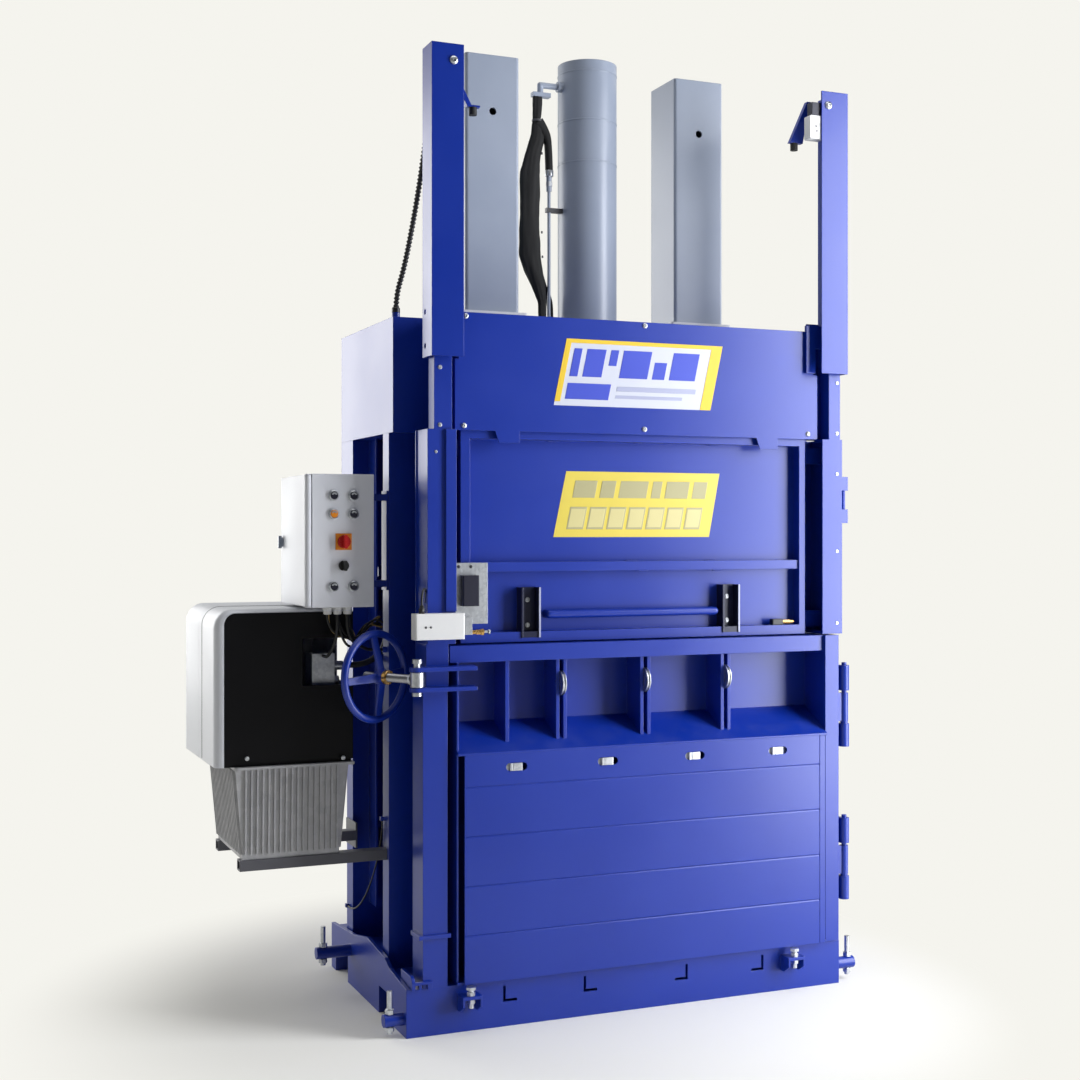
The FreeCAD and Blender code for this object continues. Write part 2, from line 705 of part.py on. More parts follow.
def make_cabinet_body():
    x0, x1 = cabinet_left, cabinet_right
    y0, y1 = cabinet_front, cabinet_back
    z0, z1, t = cabinet_bottom, cabinet_top, cabinet_wall
    shell = block(x0, x1, y0, y1, z0, z1)
    shell = shell.makeFillet(3, edges_along(shell, RIGHT, lambda c: True))
    shell = shell.cut(block(x0 - 1, x1 - t, y0 + t, y1 - t, z0 + t, z1 - t))
    ear = cabinet_hinge
    solids = [shell]
    for level, way in ((z0 + 1, 1), (z1 - 4, -1)):
        solids.append(block(x0 - 18, x0 + 1, ear.y - 5, ear.y + 8, level, level + 3))
        start = level + 2 if way > 0 else level + 1
        solids.append(rod(3, Vector(ear.x, ear.y, start), UP * way, 12))
    for x in (x0 + 58, x0 + 88, x0 + 118):
        solids.append(rod(12, Vector(x, gland_y, z0 - 20), UP, 21))
    body = weld(solids)
    for x, z in button_places:
        body = body.cut(rod(button_radius + 0.3, Vector(x, y0 - 1, z), BACK, 6))
    for z in (switch_z, selector_z):
        body = body.cut(rod(6.3, Vector(panel_x, y0 - 1, z), BACK, 6))
    return body


def make_panel_bezels():
    y = cabinet_front
    pieces = [ring(15, button_radius + 0.3, Vector(x, y - 6, z), BACK, 6) for x, z in button_places]
    plate = block(panel_x - 24, panel_x + 24, y - 3, y, switch_z - 24, switch_z + 24)
    pieces.append(plate.cut(rod(6.3, Vector(panel_x, y - 4, switch_z), BACK, 6)))
    return group(pieces)


def make_cabinet_door():
    x0, x1 = cabinet_left - 20, cabinet_left - 0.3
    z0, z1 = cabinet_bottom + 4.5, cabinet_top - 4.5
    axis = Vector(cabinet_hinge.x, cabinet_hinge.y, z0)
    solids = [block(x0, x1, axis.y, cabinet_back, z0, z1), rod(cabinet_door_round, axis, UP, z1 - z0)]
    door = weld(solids)
    door = door.cut(block(x0 + 3, x1 + 1, cabinet_front + 24, cabinet_back - 6, z0 + 6, z1 - 6))
    door = door.cut(rod(3 + running_gap, axis - UP, UP, 12))
    door = door.cut(rod(3 + running_gap, axis + UP * (z1 - z0 + 1), UP * -1, 12))
    latch = Vector(x0 - 1, cabinet_back - 20, cabinet_bottom + 190)
    return door.cut(rod(6 + running_gap, latch, RIGHT, 6))


def make_cabinet_latch():
    x0 = cabinet_left - 20
    centre = Vector(x0, cabinet_back - 20, cabinet_bottom + 190)
    solids = [
        rod(14, centre - RIGHT * 4.2, RIGHT, 4),
        block(x0 - 14, x0 - 4, centre.y - 5, centre.y + 5, centre.z - 19, centre.z + 19),
        rod(6, centre - RIGHT * 4.2, RIGHT, 12),
        block(x0 + 7, x0 + 10, centre.y - 6, centre.y + 10, centre.z - 6, centre.z + 6),
    ]
    return weld(solids)


def make_knob(z, base, grip_length, stand):
    """A turning knob on the panel, with a grip bar and a spindle through the wall."""
    y = cabinet_front - stand - 0.2
    grip = block(panel_x - 5, panel_x + 5, y - 26, y - 6, z - grip_length / 2, z + grip_length / 2)
    grip = grip.makeFillet(4, edges_along(grip, BACK, lambda c: True))
    disc = rod(base, Vector(panel_x, y - 7, z), BACK, 7)
    return weld([disc, grip, rod(6, Vector(panel_x, y - 1, z), BACK, 11)])


def make_push_button(x, z):
    cap = rod(button_radius, Vector(x, cabinet_front - 10, z), BACK, 17)
    edge = [e for e in cap.Edges if abs(e.CenterOfMass.y - cap.BoundBox.YMin) < 0.01 and e.Length > 10]
    return cap.makeChamfer(1, edge)


# ---- power pack ----

def tank_wire(width, length, z, inset):
    x0, x1 = pack_x - width / 2 + inset, pack_x + width / 2 - inset
    y0, y1 = pack_y - length / 2 + inset, pack_y + length / 2 - inset
    corners = [Vector(x0, y0, z), Vector(x1, y0, z), Vector(x1, y1, z), Vector(x0, y1, z)]
    return Part.makePolygon(corners + corners[:1])


def tank_loft(inset, z_low, z_high):
    bottom_length = tank_length - 18
    low = tank_wire(tank_bottom_width, bottom_length, z_low, inset)
    high = tank_wire(tank_top_width, tank_length, z_high, inset)
    return Part.makeLoft([low, high], True, True)


def make_oil_tank():
    low, high = tank_bottom, tank_top
    body = tank_loft(0, low, high)
    skirt = tank_loft(-8, low + 16, high - 1)
    solids = [body]
    count = 17
    for k in range(count):
        x = pack_x + (k - (count - 1) / 2) * (tank_bottom_width - 14) / (count - 1)
        slab = block(x - 2.5, x + 2.5, pack_y - tank_length, pack_y + tank_length, low, high)
        solids.append(slab.common(skirt))
    for k in range(16):
        y = pack_y + (k - 7.5) * (tank_length - 36) / 15
        slab = block(pack_x - tank_top_width, pack_x + tank_top_width, y - 3, y + 3, low, high)
        solids.append(slab.common(skirt))
    flange = block(pack_x - tank_top_width / 2 - 4, hood_right, pack_y - 201, pack_y + 202, high, high + 8)
    flange = flange.makeFillet(12, edges_along(flange, UP, lambda c: c.x < pack_x))
    solids.append(flange)
    tank = weld(solids)
    return tank.cut(tank_loft(6, low + 6, high + 9))


def make_tank_lid():
    x0, x1 = hood_left + 4 + slide_gap, hood_right - 4 - slide_gap
    y0, y1 = hood_front_y + 4 + slide_gap, hood_back - 4 - slide_gap
    plate = block(x0, x1, y0, y1, hood_bottom, hood_bottom + 8)
    return plate.makeFillet(22, edges_along(plate, UP, lambda c: c.x < pack_x and c.y < pack_y))


def make_pump_unit():
    z0 = hood_bottom + 8
    motor = Vector(pack_x - 26, pack_y - 5, z0)
    x1 = hood_right - 43
    solids = [
        rod(95, motor, UP, 230),
        rod(80, motor + UP * 229, UP, 74),
        block(motor.x - 100, x1 + 5, pack_y - 140, pack_y + 120, z0, z0 + 12),
        block(x1 - 70, x1, port_y - 40, port_y + 40, z0 + 11, port_z + 40),
        rod(14, Vector(x1 - 1, port_y, port_z), RIGHT, 36),
        rod(14, Vector(x1 - 1, port_y + 12, port_z - 46), RIGHT, 26),
    ]
    for k in range(12):
        turn = math.radians(30 * k)
        fin = block(90, 104, -2.5, 2.5, 20, 215)
        fin.rotate(Vector(0, 0, 0), UP, 30 * k)
        fin.translate(motor)
        solids.append(fin)
    return weld(solids)


def hood_notch():
    return block(notch_left, hood_right + 5, hood_front_y - 5, notch_back, notch_bottom, notch_top)


def hood_solid(inset):
    solid = block(hood_left + inset, hood_right - inset, hood_front_y + inset, hood_back - inset,
                  hood_bottom - (1 if inset else 0), hood_top - inset)
    top = hood_top - inset - 0.01
    solid = solid.makeFillet(55 - inset, edges_along(solid, BACK, lambda c: c.z > top and c.x < pack_x))
    front = hood_front_y + inset + 0.01
    rims = [e for e in solid.Edges if e.BoundBox.YMax < front and e.CenterOfMass.z > hood_bottom + 10
            and e.CenterOfMass.x < hood_right - inset - 1]
    return solid.makeFillet(25 - inset, rims)


def front_outline(gap):
    panel = block(hood_left + 27 - gap, hood_right + (5 if gap else 0), hood_front_y - (5 if gap else 0),
                  hood_front_y + (20 if gap else 4), hood_bottom + (-5 if gap else 8), hood_top - 12 + gap)
    return panel.makeFillet(35, edges_along(panel, BACK, lambda c: c.x < pack_x and c.z > hood_top - 40))


def make_hood_shell():
    shell = hood_solid(0).cut(hood_solid(4))
    shell = shell.cut(front_outline(0.3))
    shell = shell.cut(hood_notch())
    seam_y = hood_front_y + 250
    seam = block(hood_left - 1, hood_right + 1, seam_y - 1, seam_y + 1, hood_bottom - 1, hood_top + 1)
    return shell.cut(seam.cut(hood_solid(1.5)))


def make_hood_front():
    panel = front_outline(0)
    return panel.cut(hood_notch())


def make_pack_rails():
    z0, z1 = tank_bottom - 32, tank_bottom
    back = pack_y + 140
    front = lying_tube(pack_x - 153, post_left, hood_front_y, hood_front_y + 40, z0, z1, 4)
    rear = lying_tube(pack_x - 153, post_left - 6, back, back + 40, z0, z1, 4)
    end = block(post_left - 6, post_left, back, chamber_back - 82, z0 - 25, z1 + 23)
    return group([front, weld([rear, end])])


def pack_hose_points():
    start = Vector(hood_right - 8, port_y, port_z)
    end = Vector(post_left + 68, ram_y, head_bottom - 30)
    rise = end.z - start.z
    steps = [(70, 0, 0), (130, 17, 32)]
    points = [start] + [start + Vector(*step) for step in steps]
    points += [
        (end.x - 16, end.y - 56, start.z + 110),
        (end.x - 2, end.y - 21, start.z + 0.33 * rise),
        (end.x - 1, end.y - 5, start.z + 0.55 * rise),
        (end.x, end.y, start.z + 0.78 * rise),
    ]
    return points + [end]


def control_cable_points():
    start = Vector(cabinet_left + 118, gland_y, cabinet_bottom - 20)
    end = Vector(post_left - 12, frame_front + 140, door_top - 24)
    return [start, start + Vector(0, 0, -45), start + Vector(20, 20, -85), end + Vector(-45, 0, 0), end]


def motor_cable_points():
    start = Vector(cabinet_left + 88, gland_y, cabinet_bottom - 20)
    end = Vector(hood_right - 78, port_y - 40, port_z + 33)
    return [start, start + Vector(0, 0, -45), start + Vector(-5, 14, -93), end + Vector(0, -50, 0), end]


def earth_lead_points():
    start = Vector(post_left - 6, frame_front + 164, shelf_front - 228)
    end = Vector(post_left - 6, chamber_back - 102, base_height + 96)
    dy, dz = end.y - start.y, end.z - start.z
    shares = [(0, 0.096), (0.052, 0.233), (0.135, 0.384), (0.24, 0.535), (0.359, 0.674), (0.49, 0.799),
              (0.63, 0.901), (0.773, 0.971), (0.901, 1)]
    return [start] + [start + Vector(0, dy * a, dz * b) for a, b in shares] + [end]


# ---- lower door ----

def make_door_panel():
    x0, x1 = wall_left - 24, base_width - 9
    z0, z1, t = door_bottom, door_top, sheet
    stile = x1 - 50
    shelf = [(door_front, shelf_front), (door_front, shelf_front + t), (door_inner + 1, shelf_back + t),
             (door_inner + 1, shelf_back)]
    solids = [
        block(x0, x1, door_inner, door_back, z0, z1),
        block(x0, x0 + t, 0, door_back, z0, z1),
        block(x0, x0 + t, -10, 1, z0, z1 - 49),
        block(wall_right + 3, wall_right + 22, door_front + 2, door_front + 8, z0, shelf_front + 1),
        box_tube(stile, x1, -12, door_back, z0, z1, t),
        block(stile, x1, -12, door_back, z1 - t, z1),
        block(x0, stile + 1, door_front + t, door_back, z0, z0 + t),
        block(x0, x1, 50, door_back, z1 - t, z1),
        lying_tube(x0 - 18, x1 - 30, 0, 50, z1 - 49, z1, 5),
        side_profile(shelf, x0, stile + 1),
    ]
    slope = (shelf_back - shelf_front) / (door_inner - door_front)
    rib_foot = shelf_front + 2 + slope * (rib_front - door_front)
    rib = [(rib_front, z1 - 48), (50, z1 - 48), (50, z1 - t), (door_inner + 1, z1 - t),
           (door_inner + 1, shelf_back), (rib_front, rib_foot)]
    solids.append(side_profile(rib, centre_x - 462, centre_x - 450))
    for x in roller_places:
        solids.append(side_profile(rib, x - 17.5, x - 6.5))
        solids.append(side_profile(rib, x + 6.5, x + 17.5))
        solids.append(rod(pin_radius, Vector(x - 19.5, roller_y, roller_z), RIGHT, 39))
    web = [(door_front + t, z0), (door_inner + 1, z0), (door_inner + 1, shelf_back),
           (door_front + t, shelf_front + 1)]
    for x in [centre_x - 300, centre_x, centre_x + 300]:
        solids.append(side_profile(web, x - 3, x + 3))
    knuckles = []
    for low in hinge_levels:
        start = low + lower_knuckle + 8
        tall = hinge_tall - lower_knuckle - upper_knuckle - 16
        knuckles.append(Vector(hinge_x, hinge_y, start))
        solids.append(block(x1 - 8, hinge_x, hinge_y - 5, hinge_y + 5, start, start + tall))
        solids.append(rod(hinge_radius - 3, Vector(hinge_x, hinge_y, start), UP, tall))
    panel = weld(solids)
    for spot in knuckles:
        panel = panel.cut(rod(pin_radius + running_gap, spot - UP * 5, UP, hinge_tall))
    return panel


def make_door_skin():
    x0, x1, z0, z1 = wall_left - 4, wall_right, door_bottom, shelf_front
    y0, y1 = door_front, door_front + sheet
    skin = block(x0, x1, y0, y1, z0, z1)
    cuts = []
    for share in (0.21, 0.425, 0.643, 0.86):
        z = z0 + share * (z1 - z0)
        cuts.append(side_profile([(y0 - 0.5, z - 4), (y0 + 2.5, z), (y0 - 0.5, z + 4)], x0 - 1, x1 + 1))
    half = guide_half + 0.3
    for x in strap_places:
        cuts.append(block(x - 20, x + 24, y0 - 1, y1 + 1, guide_z - half, guide_z + half))
        cuts.append(rod(half, Vector(x - 20, y0 - 1, guide_z), BACK, sheet + 2))
        cuts.append(rod(half, Vector(x + 24, y0 - 1, guide_z), BACK, sheet + 2))
    return skin.cut(group(cuts))


def make_strap_guides():
    """Guide blocks that stand through the skin's long holes, with a flange behind the skin."""
    front, back = door_front - 4, door_front + sheet
    pieces = []
    for x in strap_places:
        guide = block(x - 20, x + 19, front, back + 3, guide_z - guide_half, guide_z + guide_half)
        guide = guide.makeFillet(2, edges_along(guide, UP, lambda c: c.y < front + 1))
        guide = guide.cut(block(x - 12, x - 9, front - 1, front + 1.5, guide_z - 12, guide_z + 12))
        pieces.append(weld([guide, block(x - 40, x + 19, back, back + 3, guide_z - 14, guide_z + 14)]))
    return group(pieces)


def make_lock_bars():
    x0, x1 = bolt_x, wall_left + 21
    web_left = wall_left - 18
    pin = Vector(bolt_x, bolt_y, lock_height)
    solids = [
        rod(10, pin - UP * 47, UP, 95),
        rod(14, pin + UP * 46, UP, 12),
        rod(14, pin - UP * 47, UP, 10),
    ]
    for z in (lock_height - eye_half - 0.3 - bar_thick, lock_height + eye_half + 0.3):
        solids.append(block(x0, x1, bolt_y - 22, bolt_y + 22, z, z + bar_thick))
        solids.append(rod(22, Vector(bolt_x, bolt_y, z), UP, bar_thick))
        solids.append(block(web_left, web_left + 12, bolt_y + 20, door_inner, z, z + bar_thick))
    return weld(solids)


def make_strap_roller(x):
    start = Vector(x - 6, roller_y, roller_z)
    wheel = ring(roller_radius, pin_radius + running_gap, start, RIGHT, 12)
    groove = ring(roller_radius + 1, roller_radius - 3, start + RIGHT * 3, RIGHT, 6)
    return wheel.cut(groove)


# ---- lock ----

def make_swing_bolt():
    pin = Vector(bolt_x, bolt_y, lock_height)
    eye = rod(20, pin - UP * eye_half, UP, 2 * eye_half)
    bolt = weld([eye, rod(spindle_radius, pin + bolt_way * 15, bolt_way, 190)])
    return bolt.cut(rod(10 + running_gap, pin - UP * 30, UP, 60))


def make_thrust_washer():
    pin = Vector(bolt_x, bolt_y, lock_height)
    return ring(21, spindle_radius + 0.1, pin + bolt_way * 110.3, bolt_way, 12)


def make_handwheel():
    pin = Vector(bolt_x, bolt_y, lock_height)
    rim_centre = pin + bolt_way * 165
    hub = pin + bolt_way * 122.5
    solids = [
        rod(22, hub, bolt_way, 30),
        Part.makeTorus(wheel_radius, wheel_tube, rim_centre, bolt_way),
    ]
    for k in range(4):
        turn = math.radians(90 * k + 4)
        out = bolt_side * math.cos(turn) + UP * math.sin(turn)
        across = bolt_side * -math.sin(turn) + UP * math.cos(turn)
        foot = hub + bolt_way * 14 + out * 14
        end = rim_centre + out * (wheel_radius - 2) - bolt_way * 4
        corners = [foot - across * 13, foot + across * 13, end + across * 10, end - across * 10]
        solids.append(plate_from(corners, bolt_way * 8))
    wheel = solids[0].multiFuse(solids[1:])
    return wheel.cut(rod(spindle_radius + running_gap, hub - bolt_way, bolt_way, 60))


# ---- loading flap ----

def make_loading_flap():
    x0, x1, y0, y1 = flap_left, flap_right, flap_front, flap_back
    z0, z1, bar = flap_bottom, flap_top, 30
    solids = [
        block(x0, x1, y1 - 4, y1, z0, z1),
        block(x0, x0 + bar, y0, y1, z0, z1),
        block(x1 - 22, x1, y0, y1, z0, z1),
        block(x0, x1, y0, y1, z0, z0 + bar),
        block(x0, x1, y0, y1, z1 - bar, z1),
        block(x0, x1, y0 + 6, y1, z0 + 210, z0 + 238),
    ]
    for x in (centre_x - 404, centre_x + 279):
        solids.append(block(x, x + 6, y0 - 4, y1, z0 + 12, z0 + 162))
        solids.append(block(x + 56, x + 62, y0 - 4, y1, z0 + 12, z0 + 162))
        solids.append(block(x, x + 62, y1 - 12, y1, z0 + 12, z0 + 162))
    for z in (z0 + 22, z1 - 85):
        solids.append(block(rail_left + slide_gap, x0 + 1, y0 + 22, y1 - 2, z, z + 51))
        solids.append(block(x1 - 1, rail_right - slide_gap, y0 + 22, y1 - 2, z, z + 51))
    return weld(solids)


def make_flap_handle():
    r, y, z = 12.5, flap_front + 15, flap_bottom + 80
    x0, x1, back = centre_x - 307, centre_x + 259, flap_back - 4
    solids = [rod(r, Vector(x0, y, z), RIGHT, x1 - x0)]
    for x in (x0, x1):
        solids.append(Part.makeSphere(r, Vector(x, y, z)))
        solids.append(rod(r, Vector(x, y, z), BACK, back - y))
    return weld(solids)


# ---- ram ----

def make_platen():
    x0, x1 = wall_left + 14, wall_right - 14
    y0, y1 = frame_front + 6, chamber_back - 12
    z0 = head_bottom + 2
    z1 = z0 + platen_thickness
    solids = [block(x0, x1, y0, y1, z0, z0 + 34)]
    for y in (y0, ram_y - tube_size / 2, ram_y + tube_size / 2 - 12, y1 - 12):
        solids.append(block(x0, x1, y, y + 12, z0 + 33, z1))
    for x in (x0, centre_x - tube_pitch / 2 - 6, centre_x - 6, centre_x + tube_pitch / 2 - 6, x1 - 12):
        solids.append(block(x, x + 12, y0, y1, z0 + 33, z1))
    for x in (centre_x - tube_pitch / 2, centre_x, centre_x + tube_pitch / 2):
        half = tube_size / 2 + 10
        solids.append(block(x - half, x + half, ram_y - half, ram_y + half, z1 - 16, z1))
    platen = weld(solids)
    half = strap_slot / 2
    grooves = [block(x - half, x + half, y0 - 1, y1 + 1, z0 - 1, z0 + 20) for x in strap_places]
    return platen.cut(group(grooves))


def make_piston_rod():
    foot = head_bottom + 2 + platen_thickness
    top = head_top + barrel_above_head - 58
    axis = Vector(centre_x, ram_y, foot)
    piston = rod(bore_radius - 0.6, axis + UP * (top - foot - 45), UP, 45)
    return weld([rod(rod_radius, axis, UP, top - foot), piston])


def make_guide_tubes():
    foot, top = head_bottom + 2 + platen_thickness, head_top + tube_above_head
    half = tube_size / 2
    tubes = []
    for x in (centre_x - tube_pitch / 2, centre_x + tube_pitch / 2):
        y0, y1 = ram_y - half, ram_y + half
        outer = block(x - half, x + half, y0, y1, foot, top)
        outer = outer.makeFillet(10, edges_along(outer, UP, lambda c: True))
        w = tube_wall
        tube = outer.cut(block(x - half + w, x + half - w, y0 + w, y1 - w, foot - 1, top - w))
        tubes.append(tube.cut(rod(12, Vector(x, y0 - 1, top - 179), BACK, 2 * half + 2)))
    return group(tubes)


parts["base_frame"] = make_base_frame()
parts["anchor_bolts"] = make_anchor_bolts()
parts["left_side_wall"] = make_left_side_wall()
parts["right_side_wall"] = make_right_side_wall()
parts["rear_wall"] = make_rear_wall()
parts["lock_column"] = make_lock_column()
parts["left_flap_guide"] = make_left_flap_guide()
parts["right_flap_guide"] = make_right_flap_guide()
parts["left_tower"] = make_left_tower()
parts["right_tower"] = make_right_tower()
parts["flap_buffers"] = make_flap_buffers()
parts["limit_switch"] = make_limit_switch()
parts["head_cover"] = make_head_cover()
parts["head_box"] = make_head_box()
parts["tube_guides"] = make_tube_guides()
parts["cylinder_barrel"] = make_cylinder_barrel()
parts["steel_line"] = make_steel_line()
parts["branch_hose"] = cord_tube("branch_hose", branch_points(), 7)
parts["hose_sleeve"] = cord_tube("hose_sleeve", sleeve_points(), 22)
parts["sensor_conduit"] = cord_tube("sensor_conduit", conduit_points(), 8)
parts["hinge_brackets"] = make_hinge_brackets()
parts["interlock_switch"] = make_interlock_switch()
parts["flap_switch"] = make_flap_switch()
parts["cabinet_body"] = make_cabinet_body()
parts["panel_bezels"] = make_panel_bezels()
parts["control_cable"] = cord_tube("control_cable", control_cable_points(), 5)
parts["motor_cable"] = cord_tube("motor_cable", motor_cable_points(), 5)
parts["oil_tank"] = make_oil_tank()
parts["tank_lid"] = make_tank_lid()
parts["pump_unit"] = make_pump_unit()
parts["pack_hose"] = cord_tube("pack_hose", pack_hose_points(), 9)
parts["hood_shell"] = make_hood_shell()
parts["hood_front"] = make_hood_front()
parts["pack_rails"] = make_pack_rails()
parts["earth_lead"] = cord_tube("earth_lead", earth_lead_points(), 2.5)
parts["door_panel"] = make_door_panel()
parts["door_skin"] = make_door_skin()
parts["strap_guides"] = make_strap_guides()
parts["lock_bars"] = make_lock_bars()
for number, place in enumerate(roller_places, 1):
    parts["strap_roller_%d" % number] = make_strap_roller(place)
parts["loading_flap"] = make_loading_flap()
parts["flap_handle"] = make_flap_handle()
parts["platen"] = make_platen()
parts["piston_rod"] = make_piston_rod()
parts["guide_tubes"] = make_guide_tubes()
parts["swing_bolt"] = make_swing_bolt()
parts["thrust_washer"] = make_thrust_washer()
parts["handwheel"] = make_handwheel()
parts["cabinet_door"] = make_cabinet_door()
parts["cabinet_latch"] = make_cabinet_latch()
parts["main_switch_knob"] = make_knob(switch_z, 19, 40, 3)
parts["selector_knob"] = make_knob(selector_z, 15, 30, 0)
for number, (x, z) in enumerate(button_places, 1):
    parts["push_button_%d" % number] = make_push_button(x, z)

os.makedirs("parts", exist_ok=True)
to_origin = Vector(-base_width / 2, -base_depth / 2, 0)
for name, shape in parts.items():
    shape.translate(to_origin)
    if not shape.isValid():
        print(name, "is not valid")
    shape.exportStep("parts/" + name + ".step")
print(len(parts), "nodes")
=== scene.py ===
import bpy
import bmesh
import json
import math
import random
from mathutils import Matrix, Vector, noise


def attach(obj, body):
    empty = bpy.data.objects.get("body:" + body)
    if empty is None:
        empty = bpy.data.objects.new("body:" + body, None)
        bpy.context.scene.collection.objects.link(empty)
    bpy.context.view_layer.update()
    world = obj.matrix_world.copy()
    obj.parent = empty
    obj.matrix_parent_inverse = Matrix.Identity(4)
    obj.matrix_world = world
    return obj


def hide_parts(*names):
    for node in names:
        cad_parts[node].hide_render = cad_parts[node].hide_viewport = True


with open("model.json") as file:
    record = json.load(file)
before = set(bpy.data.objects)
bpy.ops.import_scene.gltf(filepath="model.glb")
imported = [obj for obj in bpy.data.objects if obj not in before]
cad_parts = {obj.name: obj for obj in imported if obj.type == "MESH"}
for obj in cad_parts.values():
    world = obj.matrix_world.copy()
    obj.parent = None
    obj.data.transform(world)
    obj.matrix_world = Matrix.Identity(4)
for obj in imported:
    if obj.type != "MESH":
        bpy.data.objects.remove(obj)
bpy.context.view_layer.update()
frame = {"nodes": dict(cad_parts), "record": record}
nodes = frame["nodes"]
print("stage: frame loaded,", len(nodes), "nodes")

originX, originY = 731, 409  # the row's origin, in millimetres from the base's front left bottom corner
front, back, right, up = (0, -1, 0), (0, 1, 0), (1, 0, 0), (0, 0, 1)


def at(x, y, z):  # millimetres from that corner, to the row frame
    return Vector(((x - originX) / 1000, (y - originY) / 1000, z / 1000))


def linkItem(name, data):
    item = bpy.data.objects.new(name, data)
    bpy.context.scene.collection.objects.link(item)
    return item


# node trees: an input's value is a plain one or another node's socket

def setInputs(tree, node, values):
    for key, value in values.items():
        if isinstance(value, bpy.types.NodeSocket):
            tree.links.new(value, node.inputs[key])
        else:
            node.inputs[key].default_value = value


def addNode(tree, kind, values=None, **settings):
    node = tree.nodes.new(kind)
    for key, value in settings.items():
        setattr(node, key, value)
    setInputs(tree, node, values or {})
    return node


def newGroup(name, kind, inputs, outputs):  # each label has its socket's kind and first value
    group = bpy.data.node_groups.new(name, kind)
    for way, sockets in (("INPUT", inputs), ("OUTPUT", outputs)):
        for label, (socketKind, *first) in sockets.items():
            socket = group.interface.new_socket(label, in_out=way, socket_type="NodeSocket" + socketKind)
            if first:
                socket.default_value = first[0]
    return group, group.nodes.new("NodeGroupInput").outputs


def mathNode(tree, operation, a, b=None, clamp=False):
    values = {0: a} if b is None else {0: a, 1: b}
    return addNode(tree, "ShaderNodeMath", values, operation=operation, use_clamp=clamp).outputs[0]


def rangeNode(tree, value, low, high, toLow=0.0, toHigh=1.0, smooth=True):
    values = {0: value, 1: low, 2: high, 3: toLow, 4: toHigh}
    kind = "SMOOTHSTEP" if smooth else "LINEAR"
    return addNode(tree, "ShaderNodeMapRange", values, interpolation_type=kind).outputs[0]


def noiseNode(tree, vector, scale, detail=3.0, rough=0.5):
    values = {"Vector": vector, "Scale": scale, "Detail": detail, "Roughness": rough}
    return addNode(tree, "ShaderNodeTexNoise", values).outputs["Fac"]


def objectCoords(tree):
    return addNode(tree, "ShaderNodeTexCoord").outputs["Object"]


def placeGroup(tree, group, values=None):
    return addNode(tree, "ShaderNodeGroup", values, node_tree=group).outputs


def mixColours(tree, fac, a, b):
    first, second = [value + (1.0,) if isinstance(value, tuple) else value for value in (a, b)]
    return addNode(tree, "ShaderNodeMix", {0: fac, 6: first, 7: second}, data_type="RGBA").outputs[2]


def bumpNode(tree, height, settings, normal=None):
    values = {"Height": height, "Strength": settings["bump"], "Distance": settings["bumpDepth"]}
    if normal is not None:
        values["Normal"] = normal
    return addNode(tree, "ShaderNodeBump", values).outputs[0]


# shader groups: edge wear, paint skin, cast grain, brushed lines

wearLook = {"samples": 6, "edge": (0.02, 0.2), "chipNoise": (55.0, 5.0, 0.65), "chips": (0.52, 0.66),
            "broadNoise": (4.0, 2.0), "broad": (0.42, 0.62)}
skinLook = {"peelNoise": (2.0, 0.4), "cloudNoise": (2.2, 4.0, 0.55), "cloud": (0.3, 0.7), "upward": (0.55, 0.95),
            "speckNoise": (14.0, 6.0, 0.7), "specks": (0.4, 0.75)}
grainLook = {"noise": (5.0, 0.7)}
brushedLook = {"noise": (1.0, 3.0, 0.6)}


def makeEdgeWear(look):  # a rounded normal, and a mask of the worn outer edges
    group, given = newGroup("edgeWear", "ShaderNodeTree", {"Radius": ("Float", 0.0015), "Amount": ("Float", 0.5)},
                            {"Wear": ("Float",), "Normal": ("Vector",)})
    coords = objectCoords(group)
    bevel = addNode(group, "ShaderNodeBevel", {"Radius": given["Radius"]}, samples=look["samples"]).outputs[0]
    normal = addNode(group, "ShaderNodeNewGeometry").outputs["Normal"]
    dot = addNode(group, "ShaderNodeVectorMath", {0: bevel, 1: normal}, operation="DOT_PRODUCT")
    edge = rangeNode(group, mathNode(group, "SUBTRACT", 1.0, dot.outputs["Value"]), *look["edge"])
    chips = rangeNode(group, noiseNode(group, coords, *look["chipNoise"]), *look["chips"])
    broad = rangeNode(group, noiseNode(group, coords, *look["broadNoise"]), *look["broad"])
    worn = mathNode(group, "MULTIPLY", mathNode(group, "MULTIPLY", edge, chips), broad)
    wear = mathNode(group, "MULTIPLY", worn, given["Amount"], clamp=True)
    addNode(group, "NodeGroupOutput", {"Wear": wear, "Normal": bevel})
    return group


def makePaintSkin(look):  # orange peel height, slow colour cloud, dust that lies on top
    group, given = newGroup("paintSkin", "ShaderNodeTree", {"Peel Scale": ("Float", 420.0)},
                            {"Peel": ("Float",), "Cloud": ("Float",), "Dust": ("Float",)})
    coords = objectCoords(group)
    normal = addNode(group, "ShaderNodeNewGeometry").outputs["Normal"]
    parts = addNode(group, "ShaderNodeSeparateXYZ", {0: normal})
    upward = rangeNode(group, parts.outputs["Z"], *look["upward"])
    specks = rangeNode(group, noiseNode(group, coords, *look["speckNoise"]), *look["specks"])
    addNode(group, "NodeGroupOutput", {
        "Peel": noiseNode(group, coords, given["Peel Scale"], *look["peelNoise"]),
        "Cloud": rangeNode(group, noiseNode(group, coords, *look["cloudNoise"]), *look["cloud"]),
        "Dust": mathNode(group, "MULTIPLY", upward, specks)})
    return group


